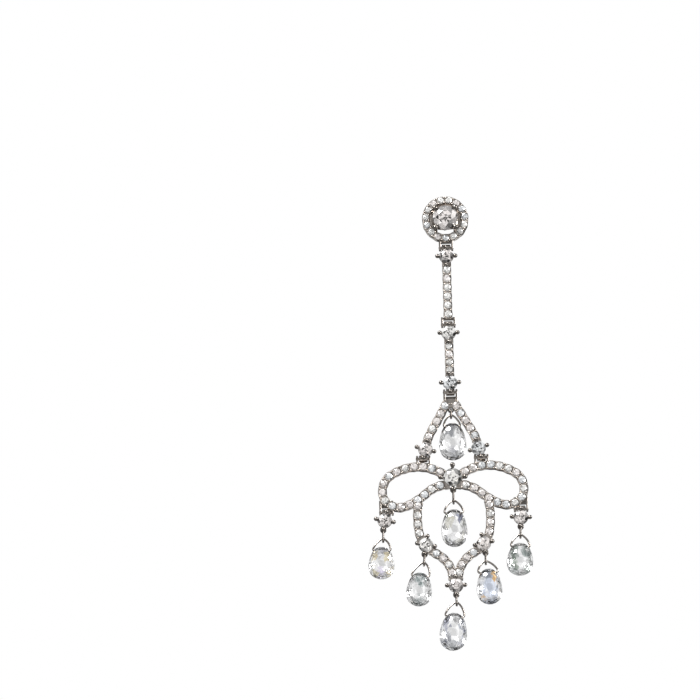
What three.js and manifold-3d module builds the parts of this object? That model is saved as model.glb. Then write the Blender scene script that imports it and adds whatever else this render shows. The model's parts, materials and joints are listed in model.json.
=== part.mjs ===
// Chandelier drop earring in white metal, set with clear stones.
// A halo stud carries two pave bars, an A-shaped frame and a bow that runs down into a lyre-shaped loop,
// each hung on a small pinned hinge. Two more claw settings are hinged under the bow's corners.
// Seven faceted drops hang from oval links and wire bails.
// Millimetres. +X is to the right, +Z is up and the front faces -Y.
// The origin is on the ear post's axis, at the back of the stud, where the stud meets the ear lobe. The post is
// fixed above the halo's centre, which keeps a long earring from tipping forward.

import * as THREE from 'three';
import { ConvexGeometry } from 'three/addons/geometries/ConvexGeometry.js';
import { mergeVertices } from 'three/addons/utils/BufferGeometryUtils.js';
import Module from 'manifold-3d';

// Stud
const HALO_RADIUS = 3.5;
const HALO_HOLE_RADIUS = 2.3;
const HALO_DEPTH = 1.4;
const HALO_STONES = 15;
const HALO_TAPER = 0.95;
const STUD_SEAT_FORWARD = 0.6;
const BACK_PLATE_THICKNESS = 0.5;
const BACK_PLATE_LIP = 0.2;
const BACK_PLATE_DROP = 1.15;

// Ear post, fixed above the halo's centre
const POST_ABOVE_CENTRE = 1.05;
const POST_RADIUS = 0.42;
const POST_LENGTH = 10;
const POST_PAD_RADIUS = 0.75;
const POST_PAD_THICKNESS = 0.3;
const POST_NOTCH_DEPTH = 0.1;
const POST_NOTCH_FROM_TIP = 1.6;
const POST_NOTCH_HALF_LENGTH = 0.3;

// Pave bands
const BAND_WIDTH = 1.36;
const BAND_DEPTH = 1.1;
const PAVE_RADIUS = 0.57;
const PAVE_RISE = 0.24;
const PAVE_SINK = 0.04;
const PAVE_PITCH = 1.32;

// Claw settings: the stone's radius, how far the claws stand outside it, and the claws' round tips
const SMALL_HEAD = { stone: 1.12, outset: 0.24, bead: 0.31 };
const BOW_HEAD = { stone: 1.4, outset: 0.45, bead: 0.36 };
const STUD_HEAD = { stone: 1.9, outset: 0.24, bead: 0.33 };
const CLAW_WIRE_RADIUS = 0.2;
const CUP_WALL = 0.17;
const CUP_BASE_SHARE = 0.5;
const CUP_BASE_INSET = 0.05;
const CUP_RIM_BACK = 0.24;
const SEAT_FORWARD = 0.35;
const SEAT_FORWARD_SHARE = 0.3;
const STONE_CLEARANCE = 0.1;

// Hinges: a knuckle on the setting turns on a pin between two cheeks
const PIN_RADIUS = 0.22;
const KNUCKLE_HOLE_RADIUS = 0.34;
const KNUCKLE_RADIUS = 0.54;
const KNUCKLE_WIDTH = 1.3;
const WEB_WIDTH_SHARE = 0.8;
const WEB_DEPTH_SHARE = 1.2;
const WEB_START_SHARE = 0.6;
const CHEEK_THICKNESS = 0.3;
const CHEEK_GAP = 0.12;
const CHEEK_RADIUS = 0.48;
const CHEEK_DEPTH_SHARE = 1.8;
const BRIDGE_DEPTH_SHARE = 1.3;
const CLEVIS_REACH = 1.1;
const OUTER_CLEVIS_REACH = 1.75;
const STUD_CHEEK_TUCK = 0.3;
const NOTCH_CLEARANCE = 0.13;

// Where the hung parts sit, measured down from hinge to hinge and out from the centre line
const HANG_DEPTH = 0.8;
const HALO_TO_HINGE = 0.89;
const UPPER_BAR_SPAN = 10.42;
const LOWER_BAR_SPAN = 7.64;
const FRAME_HEIGHT = 8.75;
const FRAME_HALF_WIDTH = 3.97;
const FRAME_HEAD_TURN = 16;
const BOW_CENTRE_DROP = 3.04;
const BOW_HALF_SPAN = 10.58;
const BOW_HEIGHT = 6.13;
const KNOT_WIDTH = 1.4;
const LYRE_HALF_WIDTH = 5.45;
const LYRE_HEIGHT = 16.5;
const LYRE_HEAD_TURN = 11;
const OUTER_HINGE_OUT = 10.07;
const OUTER_HINGE_DROP = 5.03;
const OUTER_HEAD_TURNS = { left: 12, right: 3 };
const APEX_WIDTH_SHARE = 1.2;
const APEX_REACH = 1.5;
const APEX_DROP = 0.25;

// Links, bails and drops
const EYE_RADIUS = 0.4;
const EYE_WIRE_RADIUS = 0.13;
const EYE_ABOVE_CLAW = 0.06;
const EYE_WIDTH_SHARE = 0.88;
const LINK_HALF_WIDTH = 0.38;
const LINK_WIRE_RADIUS = 0.17;
const BAIL_WIRE_RADIUS = 0.155;
const LOOP_CLEARANCE = 0.12;
const LINK_LENGTH = 2;
const BAIL_HEIGHT = 1.9;
const BAIL_HALF_WIDTH = 1.42;
const DROP_WIDTH = 4;
const DROP_LENGTH = 5.9;
const DRILL_RADIUS = 0.3;
const DRILL_BELOW_TOP = 0.68;
const DROP_THICKNESS_SHARE = 0.62;
const DROP_TABLE_SHARE = 0.8;
const LEG_CLEARANCE = 0.06;

// Facet counts
const ROUND_SIDES = 8;
const WIRE_SIDES = 5;
const EYE_SIDES = 10;
const CLAW_SIDES = 5;
const DROP_SIDES = 8;
const WELD_REACH = 0.01;

// The bow's half, from the knot round its loop and back, as shares of BOW_HALF_SPAN and BOW_HEIGHT
const BOW_LOOP = [
  { out: 0.06, down: -0.02 },
  { out: 0.206, down: -0.168 },
  { out: 0.366, down: -0.269 },
  { out: 0.516, down: -0.294 },
  { out: 0.675, down: -0.253 },
  { out: 0.826, down: -0.147 },
  { out: 0.933, down: -0.016 },
  { out: 0.99, down: 0.163 },
  { out: 1, down: 0.343 },
  { out: 0.976, down: 0.506 },
  { out: 0.896, down: 0.644 },
  { out: 0.788, down: 0.706 },
  { out: 0.666, down: 0.677 },
  { out: 0.563, down: 0.595 },
  { out: 0.441, down: 0.457 },
  { out: 0.319, down: 0.294 },
  { out: 0.188, down: 0.196 },
  { out: 0.05, down: 0.155 },
];
// The lyre's half, from the bow's lower arm to the bottom setting, as shares of LYRE_HALF_WIDTH and LYRE_HEIGHT
const LYRE_SIDE = [
  { out: 0.91, down: 0.186 },
  { out: 0.985, down: 0.264 },
  { out: 1, down: 0.361 },
  { out: 0.985, down: 0.458 },
  { out: 0.93, down: 0.542 },
  { out: 0.79, down: 0.618 },
  { out: 0.6, down: 0.679 },
  { out: 0.4, down: 0.722 },
  { out: 0.228, down: 0.779 },
  { out: 0.116, down: 0.851 },
  { out: 0.075, down: 0.94 },
];
const LYRE_HEAD_SHARE = { out: 0.79, down: 0.62 };
// One leg of the A-frame, from its top to its setting, as shares of FRAME_HALF_WIDTH and FRAME_HEIGHT
const FRAME_LEG = [
  { out: 0.09, down: 0.143 },
  { out: 0.49, down: 0.468 },
  { out: 0.885, down: 0.79 },
  { out: 1, down: 1 },
];
// A drop's outline from top to bottom: share of its length, and of its half width
const DROP_OUTLINE = [
  { down: 0.04, out: 0.38 },
  { down: 0.17, out: 0.71 },
  { down: 0.38, out: 0.92 },
  { down: 0.62, out: 1 },
  { down: 0.85, out: 0.89 },
  { down: 0.965, out: 0.47 },
];
// A bail from its top to the drill hole: share of its half width, and of its height
const BAIL_SIDE = [
  { out: 0.46, down: 0.2 },
  { out: 0.85, down: 0.57 },
  { out: 0.98, down: 0.9 },
  { out: 0.8, down: 1 },
];
// The drops. link, bail, half, width and length are shares of LINK_LENGTH, BAIL_HEIGHT, BAIL_HALF_WIDTH,
// DROP_WIDTH and DROP_LENGTH, and shift moves the bail's top sideways by a share of BAIL_HALF_WIDTH.
// tilt (the link's) and lean (the drop's) are in degrees, with the bottom to the left of the top.
const DROPS = {
  top: { link: 0.63, tilt: 0, bail: 0.95, half: 0.87, shift: -0.06, lean: -0.8, width: 1.04, length: 0.997 },
  centre: { link: 1.05, tilt: 0, bail: 1.02, half: 1, shift: 0, lean: 0, width: 0.99, length: 1.003 },
  outer_left: { link: 0.91, tilt: 2, bail: 0.96, half: 0.93, shift: 0.16, lean: 2, width: 0.99, length: 0.858 },
  outer_right: { link: 0.85, tilt: 3, bail: 0.98, half: 1, shift: -0.02, lean: 3.2, width: 1, length: 0.87 },
  lyre_left: { link: 0.86, tilt: 5, bail: 1.14, half: 0.93, shift: 0.31, lean: 5.6, width: 0.975, length: 0.897 },
  lyre_right: { link: 0.88, tilt: 0, bail: 0.93, half: 1.05, shift: -0.2, lean: -2.2, width: 0.97, length: 0.95 },
  base: { link: 0.81, tilt: -1, bail: 1.16, half: 1, shift: 0.1, lean: 5.9, width: 1.04, length: 1.003 },
};

const wasm = await Module();
wasm.setup();

const WHITE_GOLD = new THREE.MeshStandardMaterial({ color: 0xc9c6c1, roughness: 0.2, metalness: 1 });
const CLEAR_STONE = new THREE.MeshStandardMaterial({ color: 0xf2f4f5, roughness: 0.03, metalness: 0 });

// Three.js geometry to a solid, with its faces turned out
function solid(geometry) {
  const bare = geometry.clone();
  bare.deleteAttribute('normal');
  bare.deleteAttribute('uv');
  const merged = mergeVertices(bare, 1e-4);
  const triVerts = new Uint32Array(merged.index.array);
  const vertProperties = merged.attributes.position.array;
  const made = new wasm.Manifold(new wasm.Mesh({ numProp: 3, vertProperties, triVerts }));
  if (made.volume() >= 0) return made;
  const turned = triVerts.map((_, i) => triVerts[i - (i % 3) + [0, 2, 1][i % 3]]);
  return new wasm.Manifold(new wasm.Mesh({ numProp: 3, vertProperties, triVerts: turned }));
}

function geometryOf(body) {
  const mesh = body.getMesh();
  const positions = new Float32Array(mesh.numVert * 3);
  for (let i = 0; i < mesh.numVert; i += 1) {
    positions.set(mesh.vertProperties.subarray(i * mesh.numProp, i * mesh.numProp + 3), i * 3);
  }
  const geometry = new THREE.BufferGeometry();
  geometry.setAttribute('position', new THREE.BufferAttribute(positions, 3));
  geometry.setIndex(new THREE.BufferAttribute(mesh.triVerts, 1));
  return geometry;
}

const joined = (bodies) => bodies.reduce((sum, body) => sum.add(body));

function fused(bodies, cuts = []) {
  return geometryOf(cuts.reduce((left, cut) => left.subtract(cut), joined(bodies)));
}

function node(name, geometry, material) {
  const made = new THREE.Mesh(geometry, material);
  made.name = name;
  return made;
}

function box(width, depth, height, x, y, z) {
  return solid(new THREE.BoxGeometry(width, depth, height).translate(x, y, z));
}

// A cylinder along X
function crossPin(radius, width, sides, x, z) {
  const cylinder = new THREE.CylinderGeometry(radius, radius, width, sides);
  return solid(cylinder.rotateZ(Math.PI / 2).translate(x, 0, z));
}

// A flat shape drawn in X and Z, thick along Y and centred on y
function plate(shape, depth, y = 0) {
  const geometry = new THREE.ExtrudeGeometry(shape, { depth, bevelEnabled: false, curveSegments: ROUND_SIDES });
  return solid(geometry.rotateX(Math.PI / 2).translate(0, y + depth / 2, 0));
}

const flat = (x, z) => new THREE.Vector3(x, 0, z);

// A smooth line through points in X and Z
const lineThrough = (points) => new THREE.CatmullRomCurve3(points, false, 'centripetal');

// A band of even width along a line in X and Z
function band(line, steps) {
  const sides = [[], []];
  for (let i = 0; i <= steps; i += 1) {
    const at = line.getPointAt(i / steps);
    const along = line.getTangentAt(i / steps);
    const across = new THREE.Vector2(-along.z, along.x).multiplyScalar(BAND_WIDTH / 2);
    sides[0].push(new THREE.Vector2(at.x + across.x, at.z + across.y));
    sides[1].unshift(new THREE.Vector2(at.x - across.x, at.z - across.y));
  }
  return plate(new THREE.Shape([...sides[0], ...sides[1]]), BAND_DEPTH);
}

const ring = (radius, y, count, turn = 0) =>
  Array.from({ length: count }, (_, i) => {
    const angle = ((i + turn) / count) * 2 * Math.PI;
    return new THREE.Vector3(radius * Math.sin(angle), y, radius * Math.cos(angle));
  });

// One pave stone: its crown stands proud of the front plane at y, and its base is sunk in the band
function paveStone(x, z, y) {
  const points = [...ring(PAVE_RADIUS * 0.6, y - PAVE_RISE, 8), ...ring(PAVE_RADIUS, y + PAVE_SINK, 8)];
  return solid(new ConvexGeometry(points).translate(x, 0, z));
}

// Pave stones evenly spaced on the stretch of a line from one share of its length to another
function paveRow(line, from, to) {
  const length = line.getLength() * (to - from);
  const count = Math.max(1, Math.round(length / PAVE_PITCH));
  return Array.from({ length: count }, (_, i) => {
    const at = line.getPointAt(from + ((to - from) * (i + 0.5)) / count);
    return paveStone(at.x, at.z, -BAND_DEPTH / 2);
  });
}

// The outline of a round brilliant: an octagonal table, a crown, a thin girdle and a pointed pavilion.
// The girdle's plane is y = 0 and the table faces -Y. A pocket for it is the same shape, grown all round.
function brilliantPoints(radius, grow = 0) {
  const girdle = radius + grow * 2;
  return [
    ...ring(radius * 0.58 + grow, -radius * 0.33 - grow, 8),
    ...ring(girdle, -radius * 0.03 - grow, ROUND_SIDES, 0.5),
    ...ring(girdle, radius * 0.03 + grow, ROUND_SIDES, 0.5),
    new THREE.Vector3(0, radius * 0.86 + grow * 2, 0),
  ];
}

// How far the girdle of a claw-set stone stands in front of the middle plane
const seatOf = (head) => SEAT_FORWARD + SEAT_FORWARD_SHARE * head.stone;
const clawCircle = (head) => head.stone + head.outset;

// A four-claw setting, centred on (x, z): a tapered cup under the stone and four claws with round tips.
// turn is in degrees, and lift moves the stone and the claws' tips forward.
function clawSetting(head, x, z, turn = 0, lift = 0) {
  const girdle = -seatOf(head) - lift;
  const base = BAND_DEPTH / 2 - CUP_BASE_INSET;
  const rim = girdle + CUP_RIM_BACK;
  const baseRadius = head.stone * CUP_BASE_SHARE;
  const cup = new THREE.LatheGeometry(
    [
      new THREE.Vector2(baseRadius, base),
      new THREE.Vector2(head.stone, rim),
      new THREE.Vector2(head.stone - CUP_WALL, rim),
      new THREE.Vector2(baseRadius - CUP_WALL, base),
      new THREE.Vector2(baseRadius, base),
    ],
    ROUND_SIDES,
  );
  const bodies = [solid(cup)];
  const foot = new THREE.Vector3(0, base - CUP_WALL, baseRadius);
  const tip = new THREE.Vector3(0, girdle - head.bead / 2, clawCircle(head));
  const length = foot.distanceTo(tip);
  const lean = Math.atan2(tip.z - foot.z, foot.y - tip.y);
  const claw = new THREE.LatheGeometry(
    [
      new THREE.Vector2(0, 0),
      new THREE.Vector2(CLAW_WIRE_RADIUS, 0),
      new THREE.Vector2(CLAW_WIRE_RADIUS, length - head.bead),
      new THREE.Vector2(head.bead, length),
      new THREE.Vector2(0, length + head.bead),
    ],
    CLAW_SIDES,
  );
  claw.rotateX(Math.PI - lean).translate(foot.x, foot.y, foot.z);
  for (let i = 0; i < 4; i += 1) {
    bodies.push(solid(claw.clone().rotateY((i * Math.PI) / 2)));
  }
  const place = (body) => body.rotate([0, turn, 0]).translate([x, 0, z]);
  const room = new ConvexGeometry(brilliantPoints(head.stone, STONE_CLEARANCE));
  const pocket = solid(room.translate(0, girdle, 0));
  const stoneAt = new THREE.Vector3(x, girdle, z);
  return { head, bodies: bodies.map(place), pocket: place(pocket), stoneAt, turn };
}

// The stone of a claw setting, as a node
function setStone(name, setting) {
  const stone = node(name, new ConvexGeometry(brilliantPoints(setting.head.stone)), CLEAR_STONE);
  stone.position.copy(setting.stoneAt);
  stone.rotation.y = THREE.MathUtils.degToRad(setting.turn);
  return stone;
}

// A knuckle on a pin along X at (x, z), with a web back to the setting at (fromX, fromZ)
function knuckle(x, z, fromX, fromZ) {
  const away = new THREE.Vector2(fromX - x, fromZ - z);
  const start = KNUCKLE_RADIUS * WEB_START_SHARE;
  const end = away.length();
  const webWidth = KNUCKLE_WIDTH * WEB_WIDTH_SHARE;
  const web = new THREE.BoxGeometry(webWidth, KNUCKLE_RADIUS * WEB_DEPTH_SHARE, end - start);
  web.translate(0, 0, (start + end) / 2).rotateY(Math.atan2(away.x, away.y));
  return {
    bodies: [crossPin(KNUCKLE_RADIUS, KNUCKLE_WIDTH, ROUND_SIDES, x, z), solid(web.translate(x, 0, z))],
    bore: crossPin(KNUCKLE_HOLE_RADIUS, KNUCKLE_WIDTH * 2, ROUND_SIDES, x, z),
  };
}

const CHEEK_MIDDLE = KNUCKLE_WIDTH / 2 + CHEEK_GAP + CHEEK_THICKNESS / 2;

// Two cheeks and their pin at (x, z). reach is how far the cheeks run up, or down if it is negative. A bridge
// fills the space between them, except for the room that the knuckle turns in.
function clevis(x, z, reach) {
  const depth = CHEEK_RADIUS * CHEEK_DEPTH_SHARE;
  const bodies = [crossPin(PIN_RADIUS, CHEEK_MIDDLE * 2, ROUND_SIDES, x, z)];
  for (const side of [-1, 1]) {
    const at = x + side * CHEEK_MIDDLE;
    bodies.push(crossPin(CHEEK_RADIUS, CHEEK_THICKNESS, ROUND_SIDES, at, z));
    bodies.push(box(CHEEK_THICKNESS, depth, Math.abs(reach), at, 0, z + reach / 2));
  }
  const width = CHEEK_MIDDLE * 2 + CHEEK_THICKNESS;
  const start = KNUCKLE_RADIUS + NOTCH_CLEARANCE;
  const middle = z + (Math.sign(reach) * (Math.abs(reach) + start)) / 2;
  bodies.push(box(width, CHEEK_RADIUS * BRIDGE_DEPTH_SHARE, Math.abs(reach) - start, x, 0, middle));
  return bodies;
}

// The space that a knuckle turns in
const knuckleRoom = (x, z) =>
  crossPin(KNUCKLE_RADIUS + NOTCH_CLEARANCE, KNUCKLE_WIDTH + CHEEK_GAP * 2, ROUND_SIDES, x, z);

// Makes points that all but meet the same point
function weld(positions) {
  const seen = [];
  for (let i = 0; i < positions.length; i += 3) {
    const point = new THREE.Vector3().fromArray(positions, i);
    const twin = seen.find((other) => other.distanceTo(point) < WELD_REACH) ?? point;
    if (twin === point) seen.push(point);
    twin.toArray(positions, i);
  }
  return positions;
}

// A round wire along a closed path
function wireLoop(points, wireRadius, steps, tension) {
  const path = new THREE.CatmullRomCurve3(points, true, 'catmullrom', tension);
  const section = new THREE.Shape(
    Array.from({ length: WIRE_SIDES }, (_, i) => {
      const angle = (i / WIRE_SIDES) * 2 * Math.PI;
      return new THREE.Vector2(wireRadius * Math.cos(angle), wireRadius * Math.sin(angle));
    }),
  );
  const swept = new THREE.ExtrudeGeometry(section, { steps, extrudePath: path, curveSegments: 1 });
  // The loop closes on itself, so only the extrusion's sides are kept, without its two ends
  const sides = swept.groups[1];
  const kept = swept.attributes.position.array.slice(sides.start * 3, (sides.start + sides.count) * 3);
  const loop = new THREE.BufferGeometry();
  loop.setAttribute('position', new THREE.BufferAttribute(weld(kept), 3));
  return geometryOf(solid(loop));
}

// The fixed oval ring that a link hangs in. Its plane faces the front.
function eye(x, z) {
  const torus = new THREE.TorusGeometry(EYE_RADIUS, EYE_WIRE_RADIUS, WIRE_SIDES, EYE_SIDES);
  return solid(torus.rotateX(Math.PI / 2).scale(EYE_WIDTH_SHARE, 1, 1).translate(x, 0, z));
}

// The point under a setting where its eye is, in the setting's own frame
function eyeUnder(head, turn) {
  const reach = clawCircle(head) - EYE_ABOVE_CLAW;
  const angle = THREE.MathUtils.degToRad(turn);
  return { x: -reach * Math.sin(angle), z: -reach * Math.cos(angle) };
}

// An oval link that stands edge-on to the front, hanging down from the middle of an eye
function linkGeometry(length) {
  const half = LINK_HALF_WIDTH;
  const points = [];
  for (const [middle, start] of [[-half, 0], [half - length, Math.PI]]) {
    for (let i = 0; i <= 4; i += 1) {
      const angle = start + (i * Math.PI) / 4;
      points.push(new THREE.Vector3(0, half * Math.cos(angle), middle + half * Math.sin(angle)));
    }
  }
  return wireLoop(points, LINK_WIRE_RADIUS, 12, 0.5);
}

// The wire that runs from the link down both sides of the stone and through its drill hole.
// The stone's own middle line is x = 0, and the drill hole's centre is the origin.
function bailGeometry(drop) {
  const side = (sign) =>
    BAIL_SIDE.map(({ out, down }) => {
      const shift = drop.shift * (1 - down);
      return new THREE.Vector3(sign * out * drop.bailHalf + shift, 0, drop.bail * (1 - down));
    });
  const top = new THREE.Vector3(drop.shift, 0, drop.bail);
  return wireLoop([top, ...side(1), ...side(-1).reverse()], BAIL_WIRE_RADIUS, 15, 0.4);
}

// A double-sided faceted drop, flattened front to back, with a table on both faces and a hole drilled across
// its top. Its origin is the drill hole's centre.
function dropGeometry(drop) {
  const half = drop.width / 2;
  const deep = half * DROP_THICKNESS_SHARE;
  const table = deep * DROP_TABLE_SHARE;
  const points = [];
  DROP_OUTLINE.forEach(({ down, out }, row) => {
    for (const point of ring(half * out, 0, DROP_SIDES, (row % 2) / 2)) {
      const y = THREE.MathUtils.clamp(point.z * DROP_THICKNESS_SHARE, -table, table);
      points.push(new THREE.Vector3(point.x, y, DRILL_BELOW_TOP - down * drop.length));
    }
  });
  points.push(new THREE.Vector3(0, 0, DRILL_BELOW_TOP));
  points.push(new THREE.Vector3(0, 0, DRILL_BELOW_TOP - drop.length));
  const drilled = crossPin(DRILL_RADIUS, drop.width * 2, ROUND_SIDES, 0, 0);
  return fused([solid(new ConvexGeometry(points))], [drilled]);
}

// A drop's row of the table with its lengths in millimetres
function dropSizes(name) {
  const row = DROPS[name];
  return {
    ...row,
    link: row.link * LINK_LENGTH,
    bail: row.bail * BAIL_HEIGHT,
    bailHalf: row.half * BAIL_HALF_WIDTH,
    shift: row.shift * BAIL_HALF_WIDTH,
    width: row.width * DROP_WIDTH,
    length: row.length * DROP_LENGTH,
  };
}

// How far a link's bottom holds the bail's top below the eye
const bailHold = (drop) => drop.link - LINK_WIRE_RADIUS - LOOP_CLEARANCE - BAIL_WIRE_RADIUS;

// A link, bail and drop that hang from the eye at (x, z)
function hangDrop(name, x, z) {
  const drop = dropSizes(name);
  const link = node(`${name}_link`, linkGeometry(drop.link), WHITE_GOLD);
  link.position.set(x, 0, z);
  link.rotation.y = THREE.MathUtils.degToRad(drop.tilt);
  const hold = bailHold(drop);
  const bailTop = { x: x - hold * Math.sin(link.rotation.y), z: z - hold * Math.cos(link.rotation.y) };
  const hanging = new THREE.Group();
  const lean = THREE.MathUtils.degToRad(drop.lean);
  hanging.rotation.y = lean;
  hanging.position.set(
    bailTop.x - drop.shift * Math.cos(lean) - drop.bail * Math.sin(lean),
    0,
    bailTop.z + drop.shift * Math.sin(lean) - drop.bail * Math.cos(lean),
  );
  hanging.add(node(`${name}_bail`, bailGeometry(drop), WHITE_GOLD));
  hanging.add(node(`${name}_drop`, dropGeometry(drop), CLEAR_STONE));
  return [link, hanging];
}

const mirrored = (points, sign) => points.map(({ x, z }) => flat(sign * x, z));
const scaled = (table, width, height, top = 0) =>
  table.map(({ out, down }) => flat(out * width, top - down * height));

// The plate that closes the halo's back, a disc cut off level below so that a slot stays open there
function backPlateShape() {
  const radius = HALO_HOLE_RADIUS + BACK_PLATE_LIP;
  const cut = Math.asin(BACK_PLATE_DROP / radius);
  return new THREE.Shape().absarc(0, 0, radius, -cut, Math.PI + cut);
}

// The stud, with its halo, four-claw setting and the cheeks of the first hinge
function makeStud(hingeZ) {
  const body = new THREE.Group();
  body.position.set(0, -HANG_DEPTH, -POST_ABOVE_CENTRE);
  const back = HANG_DEPTH;
  const front = back - HALO_DEPTH;
  const halo = new THREE.LatheGeometry(
    [
      new THREE.Vector2(HALO_HOLE_RADIUS, back),
      new THREE.Vector2(HALO_RADIUS * HALO_TAPER, back),
      new THREE.Vector2(HALO_RADIUS, front),
      new THREE.Vector2(HALO_HOLE_RADIUS, front),
      new THREE.Vector2(HALO_HOLE_RADIUS, back),
    ],
    HALO_STONES * 2,
  );
  const setting = clawSetting(STUD_HEAD, 0, 0, 45, STUD_SEAT_FORWARD);
  const middle = (HALO_RADIUS + HALO_HOLE_RADIUS) / 2;
  const stones = ring(middle, 0, HALO_STONES).map(({ x, z }) => paveStone(x, z, front));
  const cheeks = clevis(0, hingeZ, -hingeZ - HALO_RADIUS + STUD_CHEEK_TUCK);
  const plateAt = back - BACK_PLATE_THICKNESS / 2;
  const closing = plate(backPlateShape(), BACK_PLATE_THICKNESS, plateAt);
  const metal = fused([solid(halo), ...setting.bodies, closing, ...cheeks, ...stones], [setting.pocket]);
  body.add(node('stud_halo', metal, WHITE_GOLD), setStone('stud_diamond', setting));
  return body;
}

function makePost() {
  const start = STONE_CLEARANCE;
  const notch = POST_LENGTH - POST_NOTCH_FROM_TIP;
  const profile = [
    [0, start],
    [POST_PAD_RADIUS, start],
    [POST_PAD_RADIUS, start + POST_PAD_THICKNESS],
    [POST_RADIUS, start + POST_PAD_THICKNESS],
    [POST_RADIUS, notch - POST_NOTCH_HALF_LENGTH],
    [POST_RADIUS - POST_NOTCH_DEPTH, notch],
    [POST_RADIUS, notch + POST_NOTCH_HALF_LENGTH],
    [POST_RADIUS, POST_LENGTH - POST_RADIUS],
    [POST_RADIUS / 2, POST_LENGTH],
    [0, POST_LENGTH],
  ];
  const turned = new THREE.LatheGeometry(profile.map(([r, y]) => new THREE.Vector2(r, y)), ROUND_SIDES);
  return node('ear_post', geometryOf(solid(turned)), WHITE_GOLD);
}

const HEAD_REACH = clawCircle(SMALL_HEAD);
// How far from a setting's centre its band starts, and the band's pave row
const BAND_START = SMALL_HEAD.stone * 0.75;
const PAVE_START = HEAD_REACH + SMALL_HEAD.bead;

function makeUpperBar() {
  const body = new THREE.Group();
  const head = clawSetting(SMALL_HEAD, 0, -HEAD_REACH);
  const tongue = knuckle(0, 0, 0, -HEAD_REACH);
  const hinge = -HEAD_REACH - UPPER_BAR_SPAN;
  const barEnd = hinge + (CLEVIS_REACH + KNUCKLE_RADIUS + NOTCH_CLEARANCE) / 2;
  const bar = band(lineThrough([flat(0, -HEAD_REACH - BAND_START), flat(0, barEnd)]), 1);
  const row = paveRow(lineThrough([flat(0, -HEAD_REACH - PAVE_START), flat(0, barEnd)]), 0, 1);
  const metal = fused(
    [...head.bodies, ...tongue.bodies, bar, ...row, ...clevis(0, hinge, CLEVIS_REACH)],
    [head.pocket, tongue.bore],
  );
  body.add(node('upper_bar', metal, WHITE_GOLD), setStone('upper_bar_diamond', head));
  return { body, hinge };
}

function makeLowerBar() {
  const body = new THREE.Group();
  const highZ = -HEAD_REACH;
  const lowZ = highZ - LOWER_BAR_SPAN;
  const hinge = lowZ - HEAD_REACH;
  const high = clawSetting(SMALL_HEAD, 0, highZ);
  const low = clawSetting(SMALL_HEAD, 0, lowZ);
  const tongues = [knuckle(0, 0, 0, highZ), knuckle(0, hinge, 0, lowZ)];
  const bar = band(lineThrough([flat(0, highZ - BAND_START), flat(0, lowZ + BAND_START)]), 1);
  const row = paveRow(lineThrough([flat(0, highZ - PAVE_START), flat(0, lowZ + PAVE_START)]), 0, 1);
  const metal = fused(
    [...high.bodies, ...low.bodies, ...tongues.flatMap((t) => t.bodies), bar, ...row],
    [high.pocket, low.pocket, ...tongues.map((t) => t.bore)],
  );
  body.add(node('lower_bar', metal, WHITE_GOLD));
  body.add(setStone('lower_bar_diamond_high', high));
  body.add(setStone('lower_bar_diamond_low', low));
  return { body, hinge };
}

// Where a turned A-frame setting's lower claw is, and so its hinge
const FRAME_TURN = THREE.MathUtils.degToRad(FRAME_HEAD_TURN);
const FRAME_HINGE_OUT = FRAME_HALF_WIDTH + HEAD_REACH * Math.sin(FRAME_TURN);
const FRAME_HINGE_DROP = FRAME_HEIGHT + HEAD_REACH * Math.cos(FRAME_TURN);

const legLine = (side) => lineThrough(mirrored(scaled(FRAME_LEG, FRAME_HALF_WIDTH, FRAME_HEIGHT), side));

// How far below the top hinge the insides of the two legs are this far from the centre line
function depthBetweenLegs(halfGap) {
  const leg = legLine(1);
  for (let share = 0; share < 1; share += 0.005) {
    const at = leg.getPointAt(share);
    const along = leg.getTangentAt(share);
    if (at.x + (along.z * BAND_WIDTH) / 2 >= halfGap) return -at.z + (along.x * BAND_WIDTH) / 2;
  }
  return FRAME_HEIGHT;
}

// The eye under the apex, as high as the apex and the legs leave room for the link's top and the bail's sides
function apexEyeDepth() {
  const drop = dropSizes('top');
  const apexRoom = APEX_REACH + APEX_DROP + BAND_WIDTH / 2 + LEG_CLEARANCE;
  const linkRoom = Math.max(apexRoom, depthBetweenLegs(LINK_WIRE_RADIUS + LEG_CLEARANCE)) + LINK_WIRE_RADIUS;
  const depths = BAIL_SIDE.map(({ out, down }) => {
    const room = out * drop.bailHalf + Math.abs(drop.shift) * (1 - down) + BAIL_WIRE_RADIUS + LEG_CLEARANCE;
    return depthBetweenLegs(room) - bailHold(drop) - down * drop.bail;
  });
  return Math.max(linkRoom, ...depths);
}

function makeTopFrame() {
  const body = new THREE.Group();
  const bodies = clevis(0, 0, -APEX_REACH);
  const cuts = [];
  const rows = [];
  for (const [side, name] of [[-1, 'left'], [1, 'right']]) {
    const line = legLine(side);
    bodies.push(band(line, 8));
    rows.push(...paveRow(line, 0.1, 1 - PAVE_START / line.getLength()));
    const head = clawSetting(SMALL_HEAD, side * FRAME_HALF_WIDTH, -FRAME_HEIGHT, -side * FRAME_HEAD_TURN);
    const tongue = knuckle(side * FRAME_HINGE_OUT, -FRAME_HINGE_DROP, side * FRAME_HALF_WIDTH, -FRAME_HEIGHT);
    bodies.push(...head.bodies, ...tongue.bodies);
    cuts.push(head.pocket, tongue.bore);
    body.add(setStone(`frame_diamond_${name}`, head));
  }
  const apexZ = -APEX_REACH - APEX_DROP;
  const apexStone = paveStone(0, apexZ, -BAND_DEPTH / 2);
  const apex = box(BAND_WIDTH * APEX_WIDTH_SHARE, BAND_DEPTH, BAND_WIDTH, 0, 0, apexZ);
  const eyeDepth = apexEyeDepth();
  const metal = fused([...bodies, apex, apexStone, ...rows, eye(0, -eyeDepth)], cuts);
  body.add(node('top_frame', metal, WHITE_GOLD), ...hangDrop('top', 0, -eyeDepth));
  return { body, hinge: -FRAME_HINGE_DROP };
}

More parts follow.
